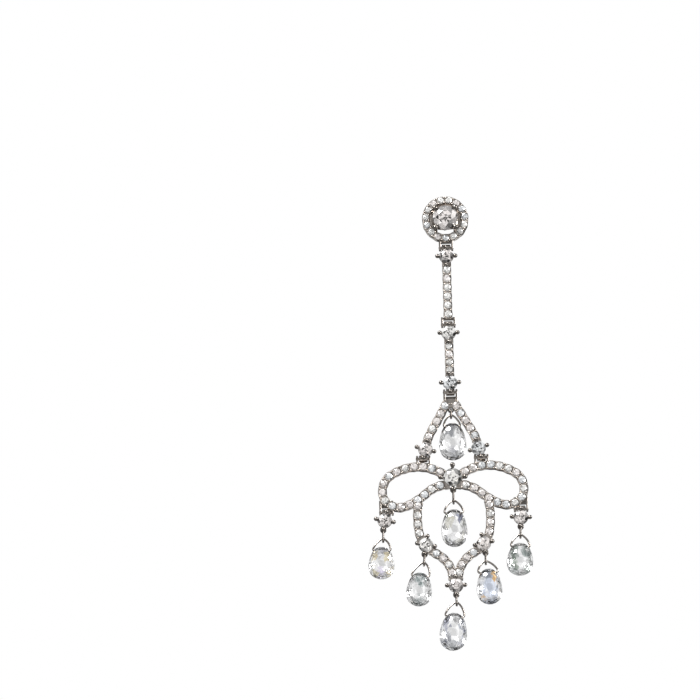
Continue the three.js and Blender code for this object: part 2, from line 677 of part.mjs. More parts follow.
// A claw setting that carries an eye and a hanging drop
function dropHead(size, x, z, turn) {
  const head = clawSetting(size, x, z, turn);
  const under = eyeUnder(size, turn);
  const eyeAt = { x: x + under.x, z: z + under.z };
  return { ...head, bodies: [...head.bodies, eye(eyeAt.x, eyeAt.z)], eyeAt };
}

function makeBow() {
  const body = new THREE.Group();
  const centre = -BOW_CENTRE_DROP;
  const bottom = centre - LYRE_HEIGHT;
  const knot = dropHead(BOW_HEAD, 0, centre, 0);
  const base = dropHead(SMALL_HEAD, 0, bottom, 0);
  const bodies = [...knot.bodies, ...base.bodies, box(KNOT_WIDTH, BAND_DEPTH, BAND_WIDTH, 0, 0, centre)];
  const cuts = [knot.pocket, base.pocket];
  const headAt = flat(LYRE_HEAD_SHARE.out * LYRE_HALF_WIDTH, centre - LYRE_HEAD_SHARE.down * LYRE_HEIGHT);
  for (const [side, name] of [[-1, 'left'], [1, 'right']]) {
    const loop = lineThrough(mirrored(scaled(BOW_LOOP, BOW_HALF_SPAN, BOW_HEIGHT, centre), side));
    const lyre = lineThrough(mirrored(scaled(LYRE_SIDE, LYRE_HALF_WIDTH, LYRE_HEIGHT, centre), side));
    const loopRow = [band(loop, 26), ...paveRow(loop, 0.055, 0.945)];
    bodies.push(joined(loopRow).subtract(knuckleRoom(side * OUTER_HINGE_OUT, centre - OUTER_HINGE_DROP)));
    bodies.push(band(lyre, 14), ...paveRow(lyre, 0.075, 0.4), ...paveRow(lyre, 0.6, 0.93));
    const head = dropHead(SMALL_HEAD, side * headAt.x, headAt.z, -side * LYRE_HEAD_TURN);
    bodies.push(...head.bodies, ...clevis(side * FRAME_HINGE_OUT, 0, -CLEVIS_REACH));
    bodies.push(...clevis(side * OUTER_HINGE_OUT, centre - OUTER_HINGE_DROP, OUTER_CLEVIS_REACH));
    cuts.push(head.pocket);
    body.add(setStone(`lyre_diamond_${name}`, head));
    body.add(...hangDrop(`lyre_${name}`, head.eyeAt.x, head.eyeAt.z));
  }
  const metal = fused(bodies, cuts);
  body.add(node('bow_frame', metal, WHITE_GOLD), setStone('bow_diamond', knot));
  body.add(setStone('base_diamond', base));
  body.add(...hangDrop('centre', knot.eyeAt.x, knot.eyeAt.z));
  body.add(...hangDrop('base', base.eyeAt.x, base.eyeAt.z));
  return body;
}

// A claw setting hinged under one corner of the bow, with its drop
function makeOuter(name) {
  const body = new THREE.Group();
  const turn = OUTER_HEAD_TURNS[name];
  const angle = THREE.MathUtils.degToRad(turn);
  const at = { x: -HEAD_REACH * Math.sin(angle), z: -HEAD_REACH * Math.cos(angle) };
  const head = dropHead(SMALL_HEAD, at.x, at.z, turn);
  const tongue = knuckle(0, 0, at.x, at.z);
  const metal = fused([...head.bodies, ...tongue.bodies], [head.pocket, tongue.bore]);
  body.add(node(`outer_setting_${name}`, metal, WHITE_GOLD));
  body.add(setStone(`outer_diamond_${name}`, head));
  body.add(...hangDrop(`outer_${name}`, head.eyeAt.x, head.eyeAt.z));
  return body;
}

const earring = new THREE.Group();
const studHinge = -HALO_RADIUS - HALO_TO_HINGE;
earring.add(makeStud(studHinge), makePost());

const upper = makeUpperBar();
upper.body.position.set(0, -HANG_DEPTH, studHinge - POST_ABOVE_CENTRE);
earring.add(upper.body);

const lower = makeLowerBar();
lower.body.position.set(0, 0, upper.hinge);
upper.body.add(lower.body);

const frame = makeTopFrame();
frame.body.position.set(0, 0, lower.hinge);
lower.body.add(frame.body);

const bow = makeBow();
bow.position.set(0, 0, frame.hinge);
frame.body.add(bow);

for (const [side, name] of [[-1, 'left'], [1, 'right']]) {
  const outer = makeOuter(name);
  outer.position.set(side * OUTER_HINGE_OUT, 0, -BOW_CENTRE_DROP - OUTER_HINGE_DROP);
  bow.add(outer);
}

export default earring;
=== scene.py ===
import json
import math
import random
from collections import namedtuple

import bmesh
import bpy
import numpy as np
from mathutils import Matrix, Vector


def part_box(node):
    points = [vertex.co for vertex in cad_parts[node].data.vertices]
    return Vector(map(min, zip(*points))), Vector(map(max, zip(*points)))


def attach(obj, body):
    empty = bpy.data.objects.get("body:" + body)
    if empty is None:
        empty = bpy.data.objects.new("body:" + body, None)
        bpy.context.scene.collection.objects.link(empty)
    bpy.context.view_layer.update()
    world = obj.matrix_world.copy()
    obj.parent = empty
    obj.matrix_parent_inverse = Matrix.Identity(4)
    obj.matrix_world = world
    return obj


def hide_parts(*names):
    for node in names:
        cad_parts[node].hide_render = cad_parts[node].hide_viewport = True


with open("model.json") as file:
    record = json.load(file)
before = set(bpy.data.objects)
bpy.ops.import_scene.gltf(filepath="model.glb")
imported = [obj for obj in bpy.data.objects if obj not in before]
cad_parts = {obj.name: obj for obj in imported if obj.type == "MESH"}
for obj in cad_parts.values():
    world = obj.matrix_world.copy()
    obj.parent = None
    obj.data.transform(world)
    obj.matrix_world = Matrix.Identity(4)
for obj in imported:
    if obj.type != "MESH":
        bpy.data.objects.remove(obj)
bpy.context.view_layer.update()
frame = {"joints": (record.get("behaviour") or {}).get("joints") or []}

# Shapes are worked out in millimetres, and scaled to metres when a mesh is made
MM = 0.001
# The plane that the bands and stones hang in. The front faces -Y.
HANG_Y = -0.8
# The radius that stands for a lathe's own axis
ON_AXIS = 0.0001
rng = random.Random(7)

# Painted shade: how much darker each part of the one white gold metal is painted than a band's front
CLAW_PAINTED_SHADE = 0.28
CUP_PAINTED_SHADE = 0.6
HINGE_PAINTED_SHADE = 0.6
BRIDGE_PAINTED_SHADE = 0.4
LINK_PAINTED_SHADE = 0.35
BAIL_PAINTED_SHADE = 0.55
PIT_PAINTED_SHADE = 0.5
BEAD_PAINTED_SHADE = 0.6

# Where each hinge's pin is
HINGE = {j["name"]: np.array(j["pos_m"], float) / MM for j in frame["joints"]}


# Small mesh kit
def write_tints(mesh, tints):
    """Writes each face's colour, a stone's cast with its painted light and shade, on its corners."""
    corners = []
    for poly, tint_and_shade in zip(mesh.polygons, tints, strict=True):
        corners.extend([tint_and_shade] * poly.loop_total)
    layer = mesh.color_attributes.new("tint_and_shade", "FLOAT_COLOR", "CORNER")
    layer.data.foreach_set("color", np.array(corners, np.float32).ravel())


class Mesh:
    """Vertices, faces and a colour for each face, gathered in millimetres. The colour holds painted light and
    shade, and a stone's cast.
    """

    MERGE_M = 2e-7
    SHARP_DEG = 38

    def __init__(self):
        self.verts = []
        self.faces = []
        self.tints = []
        self.count = 0

    def add(self, verts, faces, tints=None, matrix=None, tone=1.0):
        verts = np.asarray(verts, float).reshape(-1, 3)
        if matrix is not None:
            m = np.array(matrix)
            verts = verts @ m[:3, :3].T + m[:3, 3]
        self.verts.append(verts)
        base = self.count
        self.faces.extend([tuple(base + i for i in f) for f in faces])
        if tints is None:
            tints = [(tone, tone, tone)] * len(faces)
        self.tints.extend(tints)
        self.count += len(verts)

    def make(self, name, body, slot, material, smooth=True, replaces=()):
        mesh = bpy.data.meshes.new(name)
        verts = np.concatenate(self.verts) * MM
        mesh.from_pydata(verts.tolist(), [], self.faces)
        write_tints(mesh, [(*tint_and_shade, 1.0) for tint_and_shade in self.tints])
        mesh.validate()
        bm = bmesh.new()
        bm.from_mesh(mesh)
        bmesh.ops.remove_doubles(bm, verts=bm.verts, dist=self.MERGE_M)
        bmesh.ops.recalc_face_normals(bm, faces=bm.faces)
        bm.to_mesh(mesh)
        bm.free()
        if smooth:
            mesh.shade_smooth()
            mesh.set_sharp_from_angle(angle=math.radians(self.SHARP_DEG))
        mesh.materials.append(material)
        obj = bpy.data.objects.new(name, mesh)
        bpy.context.scene.collection.objects.link(obj)
        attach(obj, body)
        if replaces:
            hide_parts(*replaces)


def grid(rows, cols, wrap_rows=False):
    """Quads over rows of vertices that each close on themselves."""
    out = []
    for i in range(rows if wrap_rows else rows - 1):
        here, there = i * cols, ((i + 1) % rows) * cols
        for j in range(cols):
            n = (j + 1) % cols
            out.append((here + j, here + n, there + n, there + j))
    return out


def capped_grid(rows, cols):
    """A grid with a face that closes its first row, and one for its last row."""
    return grid(rows, cols) + [tuple(range(cols)), tuple((rows - 1) * cols + k for k in range(cols))]


def lathe(profile, sides, axis="Y", closed=False):
    """(radius, height) pairs turned round an axis. closed joins the last pair to the first."""
    verts = []
    for r, h in profile:
        for k in range(sides):
            a = 2 * math.pi * k / sides
            c, s = r * math.cos(a), r * math.sin(a)
            verts.append((c, h, s) if axis == "Y" else (h, c, s))
    rows = len(profile)
    return verts, grid(rows, sides, True) if closed else capped_grid(rows, sides)


def tube(points, radii, sides, closed=False, up=(0, 1, 0)):
    """A round wire along points, with its own radius at each."""
    pts = np.asarray(points, float)
    n = len(pts)
    radii = np.broadcast_to(np.asarray(radii, float), (n,))
    verts = []
    side = None
    for i in range(n):
        if closed:
            t = pts[(i + 1) % n] - pts[i - 1]
        else:
            t = pts[min(i + 1, n - 1)] - pts[max(i - 1, 0)]
        t = t / np.linalg.norm(t)
        if side is None:
            side = np.cross(t, np.asarray(up, float))
        side = side - t * np.dot(side, t)
        side = side / np.linalg.norm(side)
        other = np.cross(t, side)
        for k in range(sides):
            a = 2 * math.pi * k / sides
            verts.append(pts[i] + radii[i] * (math.cos(a) * side + math.sin(a) * other))
    return verts, grid(n, sides, True) if closed else capped_grid(n, sides)


def ball(centre, radius, sides, rings, squash=(1, 1, 1)):
    """A round bead with its poles along Y."""
    centre, squash = np.array(centre, float), np.array(squash)
    pole = np.array((0, radius * squash[1], 0))
    verts = [centre + pole]
    for i in range(1, rings):
        a = math.pi * i / rings
        for k in range(sides):
            b = 2 * math.pi * k / sides
            d = np.array((math.sin(a) * math.cos(b), math.cos(a), math.sin(a) * math.sin(b)))
            verts.append(centre + radius * d * squash)
    verts.append(centre - pole)
    faces = []
    last = len(verts) - 1
    for k in range(sides):
        n = (k + 1) % sides
        faces.append((0, 1 + k, 1 + n))
        faces.append((last, last - sides + n, last - sides + k))
    for i in range(rings - 2):
        for k in range(sides):
            a, b = 1 + i * sides + k, 1 + i * sides + (k + 1) % sides
            faces.append((a, a + sides, b + sides, b))
    return verts, faces


def block(metal, centre, size, bevel=0.05, tone=1.0):
    """A box with eased edges."""
    bm = bmesh.new()
    bmesh.ops.create_cube(bm, size=1)
    bmesh.ops.scale(bm, vec=size, verts=bm.verts)
    bmesh.ops.bevel(bm, geom=bm.edges[:], offset=bevel, segments=2, affect="EDGES")
    verts = [tuple(v.co + Vector(centre)) for v in bm.verts]
    bm.verts.index_update()
    faces = [tuple(v.index for v in f.verts) for f in bm.faces]
    bm.free()
    metal.add(verts, faces, tone=tone)


def spline(points, closed, per):
    """A smooth line through points, with per steps for each span: centripetal Catmull-Rom."""
    p = [np.asarray(q, float) for q in points]
    n = len(p)
    out = []
    for i in range(n if closed else n - 1):
        p1, p2 = p[i], p[(i + 1) % n]
        p0 = p[i - 1] if (closed or i > 0) else 2 * p[0] - p[1]
        p3 = p[(i + 2) % n] if (closed or i + 2 < n) else 2 * p[-1] - p[-2]
        spans = ((p0, p1), (p1, p2), (p2, p3))
        d0, d1, d2 = [max(np.linalg.norm(b - a), 1e-6) ** 0.5 for a, b in spans]
        t1 = ((p1 - p0) / d0 - (p2 - p0) / (d0 + d1) + (p2 - p1) / d1) * d1
        t2 = ((p2 - p1) / d1 - (p3 - p1) / (d1 + d2) + (p3 - p2) / d2) * d1
        square = 3 * (p2 - p1) - 2 * t1 - t2
        cube = 2 * (p1 - p2) + t1 + t2
        for k in range(per):
            t = k / per
            out.append(p1 + t1 * t + square * t * t + cube * t ** 3)
    if not closed:
        out.append(p[-1])
    return np.array(out)


class Line:
    """A line in the hanging plane, read by arc length. Points are (x, z) in millimetres."""

    PER_SPAN = 24
    LOOK_MM = 0.02

    def __init__(self, points, closed=False):
        pts = spline([(x, 0, z) for x, z in points], closed, self.PER_SPAN)
        if closed:
            pts = np.vstack([pts, pts[:1]])
        self.pts = pts[:, [0, 2]]
        steps = np.linalg.norm(np.diff(self.pts, axis=0), axis=1)
        self.s = np.concatenate([[0], np.cumsum(steps)])
        self.length = self.s[-1]
        self.closed = closed

    def at(self, s):
        if self.closed:
            s = s % self.length
        return np.array([np.interp(s, self.s, self.pts[:, 0]), np.interp(s, self.s, self.pts[:, 1])])

    def frame(self, s):
        """The point at s, and the direction across the line there."""
        lo, hi = s - self.LOOK_MM, s + self.LOOK_MM
        if not self.closed:
            lo, hi = max(0, lo), min(self.length, hi)
        t = self.at(hi) - self.at(lo)
        t = t / np.linalg.norm(t)
        return self.at(s), np.array([-t[1], t[0]])


def straight(top, bottom):
    return Line([(0.0, top), (0.0, (top + bottom) / 2), (0.0, bottom)])


def turned(x, z, deg):
    """Moves a shape to a place in the hanging plane and turns it there."""
    return Matrix.Translation((x, HANG_Y, z)) @ Matrix.Rotation(math.radians(deg), 4, "Y")


# Cut stones. Radii and heights are shares of the stone's radius, and the girdle's plane is y = 0.
TABLE_R = 0.57
TABLE_Y = -0.31
STAR_R = 0.80
STAR_Y = -0.19
GIRDLE_HALF = 0.02
LOWER_R = 0.26
LOWER_Y = 0.66
CULET_Y = 0.87
# The table is split into facets, because it shows those behind it, and these are painted as light and dark
# facets
HEART_R = 0.24
ARROW_R = 0.44
# How brightly a facet is painted: painted highlights and painted dark facets
TABLE_PAINTED_SHADES = (1.0, 1.0, 0.9, 0.62, 0.3)
CROWN_PAINTED_SHADES = (1.0, 1.0, 0.8, 0.5, 0.22)
PLAIN_TONES = (1.0,)
# The larger stones are painted with more dark facets
BIG_TABLE_PAINTED_SHADES = (1.0, 1.0, 0.85, 0.35, 0.06)
BIG_CROWN_PAINTED_SHADES = (1.0, 0.9, 0.55, 0.2, 0.05)
WARM_CAST, WARM_UNDER = (1.0, 0.95, 0.925), 0.4
COOL_CAST, COOL_UNDER = (0.965, 0.985, 1.0), 0.65
PALE_CAST = (1.0, 0.99, 0.965)
# A stone is a little smaller than its seat
SEAT_FIT = 0.985


def stone_cast():
    """A faint warm, cool or pale cast, different for each stone."""
    kind = rng.random()
    if kind < WARM_UNDER:
        return WARM_CAST
    if kind < COOL_UNDER:
        return COOL_CAST
    return PALE_CAST


def brilliant(r, table_painted_shades=TABLE_PAINTED_SHADES, crown_painted_shades=CROWN_PAINTED_SHADES):
    """A round brilliant with a colour for each facet: the stone's cast, times a painted brightness on the
    table and crown facets, as painted highlights and dark facets. The table faces -Y.
    """
    def ring(count, radius, y, half_step=0.0):
        angles = [2 * math.pi * (k + half_step) / count for k in range(count)]
        return [(radius * r * math.sin(a), y * r, radius * r * math.cos(a)) for a in angles]

    verts = []

    def start_of(points):
        verts.extend(points)
        return len(verts) - len(points)

    table = start_of(ring(8, TABLE_R, TABLE_Y, 0.5))
    star = start_of(ring(8, STAR_R, STAR_Y))
    upper = start_of(ring(16, 1, -GIRDLE_HALF))
    under = start_of(ring(16, 1, GIRDLE_HALF))
    lower = start_of(ring(8, LOWER_R, LOWER_Y))
    culet = start_of([(0, CULET_Y * r, 0)])
    heart = start_of(ring(8, HEART_R, TABLE_Y, 0.5))
    middle = start_of([(0, TABLE_Y * r, 0)])
    arrow = start_of(ring(8, ARROW_R, TABLE_Y))
    cast = stone_cast()
    faces, tints = [], []

    def facet(corners, tones):
        tone = rng.choice(tones)
        faces.append(corners)
        tints.append(tuple(tone * part for part in cast))

    for k in range(8):
        n = (k + 1) % 8
        mid = 2 * k + 1
        nxt = (2 * k + 2) % 16
        facet((middle, heart + n, heart + k), table_painted_shades)
        facet((heart + k, heart + n, arrow + n), table_painted_shades)
        facet((heart + k, arrow + n, table + k), table_painted_shades)
        facet((heart + k, table + k, arrow + k), table_painted_shades)
        facet((arrow + n, table + n, table + k), table_painted_shades)
        facet((table + k, table + n, star + n), crown_painted_shades)
        facet((table + k, star + k, upper + mid, star + n), crown_painted_shades)
        facet((star + k, upper + 2 * k, upper + mid), crown_painted_shades)
        facet((star + n, upper + mid, upper + nxt), crown_painted_shades)
        facet((lower + k, under + 2 * k, under + mid), PLAIN_TONES)
        facet((lower + n, under + mid, under + nxt), PLAIN_TONES)
        facet((culet, lower + k, under + mid, lower + n), PLAIN_TONES)
    for k in range(16):
        n = (k + 1) % 16
        facet((upper + k, upper + n, under + n, under + k), PLAIN_TONES)
    return verts, faces, tints


# Materials, with colours given
METAL_DARK = (0.63, 0.565, 0.51, 1)
METAL_LIGHT = (0.80, 0.74, 0.685, 1)
METAL_DARK_AT, METAL_LIGHT_AT = 0.3, 0.7
METAL_ROUGH = (0.07, 0.2)
# Noise scales are per metre
METAL_CLOUD = {"scale": 900, "detail": 4}
METAL_SCRATCH = {"scale": 5200, "detail": 3}
SCRATCH_STRENGTH = 0.06
SCRATCH_DEPTH_M = 0.00004
STONE_VEIL = {"scale": 300, "detail": 2}
VEIL_DARK = (0.965, 0.97, 0.975, 1)
WHITE = (1, 1, 1, 1)
FLOOR_COLOUR = (0.86, 0.86, 0.86, 1)
FLOOR_ROUGH = 0.9


def new_material(name):
    mat = bpy.data.materials.new(name)
    mat.use_nodes = True
    nodes, links = mat.node_tree.nodes, mat.node_tree.links
    return mat, nodes, links, nodes["Principled BSDF"]


def noise(nodes, links, source, scale, detail):
    node = nodes.new("ShaderNodeTexNoise")
    node.inputs["Scale"].default_value = scale
    node.inputs["Detail"].default_value = detail
    links.new(source, node.inputs["Vector"])
    return node.outputs["Fac"]


def tinted(nodes, links, colour):
    """A colour times the mesh's per-face colour, which holds painted light and shade as well as each stone's
    cast.
    """
    tint_and_shade = nodes.new("ShaderNodeAttribute")
    tint_and_shade.attribute_name = "tint_and_shade"
    mix = nodes.new("ShaderNodeMix")
    mix.data_type = "RGBA"
    mix.blend_type = "MULTIPLY"
    mix.inputs["Factor"].default_value = 1
    links.new(tint_and_shade.outputs["Color"], mix.inputs[6])
    links.new(colour, mix.inputs[7])
    return mix.outputs[2]


def make_metal():
    """Polished white gold, a little cloudy, with very fine scratches."""
    mat, nodes, links, bsdf = new_material("white_gold")
    bsdf.inputs["Metallic"].default_value = 1.0
    place = nodes.new("ShaderNodeTexCoord").outputs["Object"]
    cloud = noise(nodes, links, place, **METAL_CLOUD)
    tone = nodes.new("ShaderNodeValToRGB")
    dark, light = tone.color_ramp.elements
    dark.position, dark.color = METAL_DARK_AT, METAL_DARK
    light.position, light.color = METAL_LIGHT_AT, METAL_LIGHT
    links.new(cloud, tone.inputs["Fac"])
    # The metal's colour is multiplied by each part's painted shade
    links.new(tinted(nodes, links, tone.outputs["Color"]), bsdf.inputs["Base Color"])
    rough = nodes.new("ShaderNodeMapRange")
    rough.inputs["To Min"].default_value = METAL_ROUGH[0]
    rough.inputs["To Max"].default_value = METAL_ROUGH[1]
    links.new(cloud, rough.inputs["Value"])
    links.new(rough.outputs["Result"], bsdf.inputs["Roughness"])
    bump = nodes.new("ShaderNodeBump")
    bump.inputs["Strength"].default_value = SCRATCH_STRENGTH
    bump.inputs["Distance"].default_value = SCRATCH_DEPTH_M
    links.new(noise(nodes, links, place, **METAL_SCRATCH), bump.inputs["Height"])
    links.new(bump.outputs["Normal"], bsdf.inputs["Normal"])
    return mat


def make_stone(name, clear, ior):
    """A clear stone. clear is how much of it lets light through, and the rest scatters it softly."""
    mat, nodes, links, bsdf = new_material(name)
    bsdf.inputs["Roughness"].default_value = 0.0
    bsdf.inputs["IOR"].default_value = ior
    bsdf.inputs["Transmission Weight"].default_value = clear
    place = nodes.new("ShaderNodeTexCoord").outputs["Object"]
    veil = nodes.new("ShaderNodeValToRGB")
    veil.color_ramp.elements[0].color = VEIL_DARK
    veil.color_ramp.elements[1].color = WHITE
    links.new(noise(nodes, links, place, **STONE_VEIL), veil.inputs["Fac"])
    # The stone's colour is multiplied by its facets' painted light and shade
    links.new(tinted(nodes, links, veil.outputs["Color"]), bsdf.inputs["Base Color"])
    return mat


def make_floor_paint():
    mat, _, _, bsdf = new_material("pale_floor")
    bsdf.inputs["Base Color"].default_value = FLOOR_COLOUR
    bsdf.inputs["Roughness"].default_value = FLOOR_ROUGH
    return mat


METAL = make_metal()
SET_STONE = make_stone("clear_stone_set", 0.45, 2.42)
DROP_STONE = make_stone("clear_stone_drop", 1.0, 2.2)


def metal_object(kit, name, body, node):
    kit.make(name, body, "white_gold", METAL, replaces=(node,))


def stone_object(kit, name, body, replaces=()):
    kit.make(name, body, "clear_stone", SET_STONE, smooth=False, replaces=replaces)


# Pave bands. front and back are a band's reach from centre_y.
Band = namedtuple("Band", "width centre_y front back")
BAND = Band(1.36, HANG_Y, 0.5, 0.55)
BAND_EASE = 0.09
BAND_STEP = 0.25
PAVE_PITCH = 1.32
PAVE_STONE_SHARE = 0.42
PAVE_STONE_MAX = 0.555
PAVE_TILT_DEG = 6
PAVE_PROUD = 0.03
SCALLOP = 0.045
# A cell is one stone's length of band. Its outline is inset at the back and eased at the front.
CELL_ALONG = 9
CELL_ACROSS = 5
CELL_BACK_INSET = 0.13
CELL_LOW_INSET, CELL_LOW_RISE = 0.03, 0.1
CELL_WAIST_SHARE = 0.5
CELL_FRONT_INSET, CELL_FRONT_DROP = 0.06, 0.07
# The pit under a stone: radii as shares of the stone's, and depths below the band's front
PIT_RIM = (1.02, 0.005)
PIT_WALL = (0.93, 0.07)
PIT_FLOOR = (0.42, 0.44)
PIT_BACK_SHARE = 0.46
# The beads that hold a stone, one at each corner of its cell
BEAD_ALONG = 0.40
BEAD_INSET = 0.17
BEAD_R = 0.16
BEAD_CUT = (10, 7)


def cell_border():
    """Points round a cell, as shares along it and across it."""
    along = np.linspace(-0.5, 0.5, CELL_ALONG)
    across = np.linspace(-1, 1, CELL_ACROSS)
    border = [(a, 1) for a in along[:-1]] + [(0.5, b) for b in across[::-1][:-1]]
    return border + [(a, -1) for a in along[::-1][:-1]] + [(-0.5, b) for b in across[:-1]]


CELL_BORDER = cell_border()


def plain_band(metal, line, s0, s1):
    """A band of metal with eased edges, between two lengths along a line."""
    half, ease = BAND.width / 2, BAND_EASE
    front, back = BAND.front, -BAND.back
    section = [
        (half - ease, front), (half, front - ease), (half, back + ease), (half - ease, back),
        (ease - half, back), (-half, back + ease), (-half, front - ease), (ease - half, front),
    ]
    rows = max(2, int((s1 - s0) / BAND_STEP) + 1)
    verts = []
    for s in np.linspace(s0, s1, rows):
        p, q = line.frame(s)
        verts += [(p[0] + q[0] * b, BAND.centre_y - h, p[1] + q[1] * b) for b, h in section]
    metal.add(verts, capped_grid(rows, len(section)))


def pave_cell(metal, stones, line, mid, step, band, stone_r):
    """One scalloped length of band round mid, with a pit that is open at the back, a stone and four beads."""
    def edge(a):
        return band.width / 2 * (1 - SCALLOP + SCALLOP * math.cos(2 * math.pi * a))

    def place(a, b, h):
        p, q = line.frame(mid + a * step)
        return (p[0] + q[0] * b, band.centre_y - h, p[1] + q[1] * b)

    def outline(inset, h):
        return [place(a, b * (edge(a) - inset), h) for a, b in CELL_BORDER]

    centre = np.array(place(0, 0, band.front))

    def circle(share, h):
        out = []
        for v in outline(CELL_FRONT_INSET, band.front):
            d = np.array(v) - centre
            d[1] = 0
            out.append(tuple(centre + d / np.linalg.norm(d) * (stone_r * share) + (0, band.front - h, 0)))
        return out

    outside = [
        outline(CELL_BACK_INSET, -band.back), outline(CELL_LOW_INSET, CELL_LOW_RISE - band.back),
        outline(0.0, -CELL_WAIST_SHARE * band.back), outline(0.0, band.front - CELL_FRONT_DROP),
        outline(CELL_FRONT_INSET, band.front),
    ]
    pit = [circle(share, band.front - depth) for share, depth in (PIT_RIM, PIT_WALL, PIT_FLOOR)]
    pit.append(circle(PIT_BACK_SHARE, -band.back))
    rings = outside + pit + [outline(CELL_BACK_INSET, -band.back)]
    # The pit's walls and floor are painted darker, as painted shade in the recess under the stone
    tones = [1.0] * len(outside) + [PIT_PAINTED_SHADE] * len(pit)
    metal.add([v for ring in rings for v in ring], grid(len(rings), len(CELL_BORDER)),
              [(tone, tone, tone) for tone in tones for _ in CELL_BORDER])
    spin = Matrix.Rotation(rng.uniform(0, math.pi / 4), 4, "Y")
    nod = Matrix.Rotation(math.radians(rng.uniform(-PAVE_TILT_DEG, PAVE_TILT_DEG)), 4, "X")
    roll = Matrix.Rotation(math.radians(rng.uniform(-PAVE_TILT_DEG, PAVE_TILT_DEG)), 4, "Z")
    at = Matrix.Translation((centre[0], band.centre_y - band.front - PAVE_PROUD, centre[2]))
    stones.add(*brilliant(stone_r * SEAT_FIT), matrix=at @ nod @ roll @ spin)
    for a in (-BEAD_ALONG, BEAD_ALONG):
        for b in (-1, 1):
            spot = place(a, b * (edge(a) - BEAD_INSET), band.front + PAVE_PROUD)
            metal.add(*ball(spot, BEAD_R, *BEAD_CUT), tone=BEAD_PAINTED_SHADE)


def pave_band(metal, stones, line, s0, s1, band=BAND, count=None, stone_r=None):
    """Stones one after another, between two lengths along a line."""
    n = count or max(1, round((s1 - s0) / PAVE_PITCH))
    step = (s1 - s0) / n
    stone_r = stone_r or min(PAVE_STONE_MAX, step * PAVE_STONE_SHARE)
    for i in range(n):
        pave_cell(metal, stones, line, s0 + (i + 0.5) * step, step, band, stone_r)


# Claw settings: the stone's radius, the claws' distance outside it, and the radius of their tips
Setting = namedtuple("Setting", "stone_r claw_out tip_r")
SMALL = Setting(1.12, 0.24, 0.31)
BOW = Setting(1.4, 0.45, 0.36)
STUD = Setting(1.9, 0.24, 0.4)
HEAD_REACH = SMALL.stone_r + SMALL.claw_out
SEAT_BASE, SEAT_SHARE = 0.35, 0.3
HEAD_INSET = 0.05
HEAD_BACK = BAND.back - HEAD_INSET
# The cup: shares of the stone's radius, and heights from its rim
RIM_BELOW_GIRDLE = 0.16
CUP_FOOT_SHARE = 0.5
CUP_FLARE = 0.45
CUP_WAIST_SHARE = 0.8
CUP_RIM = [(0.95, 0.13), (0.985, 0.04), (0.965, -0.02), (0.90, -0.01), (0.83, 0.10)]
CUP_WALL = 0.16
CUP_OUTER_EASE = 0.05
CUP_INNER_EASE = 0.04
CUP_SIDES = 40
# The claws: places from the girdle and from the claws' circle, and radii as shares of a tip's
CLAW_FOOT_IN = 0.12
CLAW_WAIST_SHARE, CLAW_WAIST_OUT = 0.80, 0.3
CLAW_BEND = [(0.35, -0.12), (0.02, 0.01), (-0.16, -0.01)]
CLAW_TIP = (-0.17, -0.015)
CLAW_ROOT_SHARE, CLAW_GROWTH = 0.56, 0.14
CLAW_SIDES = 12
TIP_SHARE, TIP_SQUASH = 1.08, (1, 0.92, 1)
TIP_CUT = (18, 12)
# The fixed ring under a setting
EYE_R = 0.4
EYE_WIRE = 0.13
EYE_WIDTH_SHARE = 0.88
EYE_ABOVE_CLAW = 0.06
EYE_POINTS = 27
EYE_SIDES = 10


def girdle_y(setting, lift):
    """A stone's girdle, along Y from the hanging plane. lift brings it forward."""
    return -(SEAT_BASE + SEAT_SHARE * setting.stone_r) - lift


def cup_profile(r, girdle):
    """The open cup with a rolled rim, as (radius, height) pairs."""
    rim = girdle + RIM_BELOW_GIRDLE
    foot, wide = CUP_FOOT_SHARE * r, CUP_FOOT_SHARE * r + CUP_FLARE * (HEAD_BACK - rim)
    waist, waist_y = min(wide, CUP_WAIST_SHARE * r), 0.5 * HEAD_BACK + 0.5 * rim
    outer = [(foot - CUP_OUTER_EASE, HEAD_BACK), (foot, HEAD_BACK - CUP_OUTER_EASE), (waist, waist_y)]
    rolled = [(share * r, rim + rise) for share, rise in CUP_RIM]
    bore = foot - CUP_WALL
    foot_y = HEAD_BACK - CUP_INNER_EASE
    inner = [(waist - CUP_WALL, waist_y), (bore - CUP_INNER_EASE, foot_y), (bore, HEAD_BACK)]
    return outer + rolled + inner


def claw_setting(metal, setting, at, lift=0.0):
    """A cup under the stone, and four claws that end in round tips."""
    r, outset, tip_r = setting
    girdle = girdle_y(setting, lift)
    circle = r + outset
    metal.add(*lathe(cup_profile(r, girdle), CUP_SIDES, "Y", True), matrix=at, tone=CUP_PAINTED_SHADE)
    path = [
        (0, HEAD_BACK - CLAW_FOOT_IN, CUP_FOOT_SHARE * r),
        (0, 0.5 * (HEAD_BACK + girdle), CLAW_WAIST_SHARE * r + CLAW_WAIST_OUT * outset),
    ]
    path = spline(path + [(0, girdle + dy, circle + out) for dy, out in CLAW_BEND], False, 5)
    radii = tip_r * (CLAW_ROOT_SHARE + CLAW_GROWTH * np.linspace(0, 1, len(path)))
    tip = (0, girdle + CLAW_TIP[0], circle + CLAW_TIP[1])
    for k in range(4):
        spin = at @ Matrix.Rotation(k * math.pi / 2, 4, "Y")
        metal.add(*tube(path, radii, CLAW_SIDES, up=(1, 0, 0)), matrix=spin, tone=CLAW_PAINTED_SHADE)
        metal.add(*ball(tip, tip_r * TIP_SHARE, *TIP_CUT, TIP_SQUASH), matrix=spin, tone=CLAW_PAINTED_SHADE)


def set_stone(name, body, setting, at, lift=0.0):
    stone = Mesh()
    cut = brilliant(setting.stone_r * SEAT_FIT, BIG_TABLE_PAINTED_SHADES, BIG_CROWN_PAINTED_SHADES)
    stone.add(*cut, matrix=at @ Matrix.Translation((0, girdle_y(setting, lift), 0)))
    stone_object(stone, name + "_cut", body, (name,))


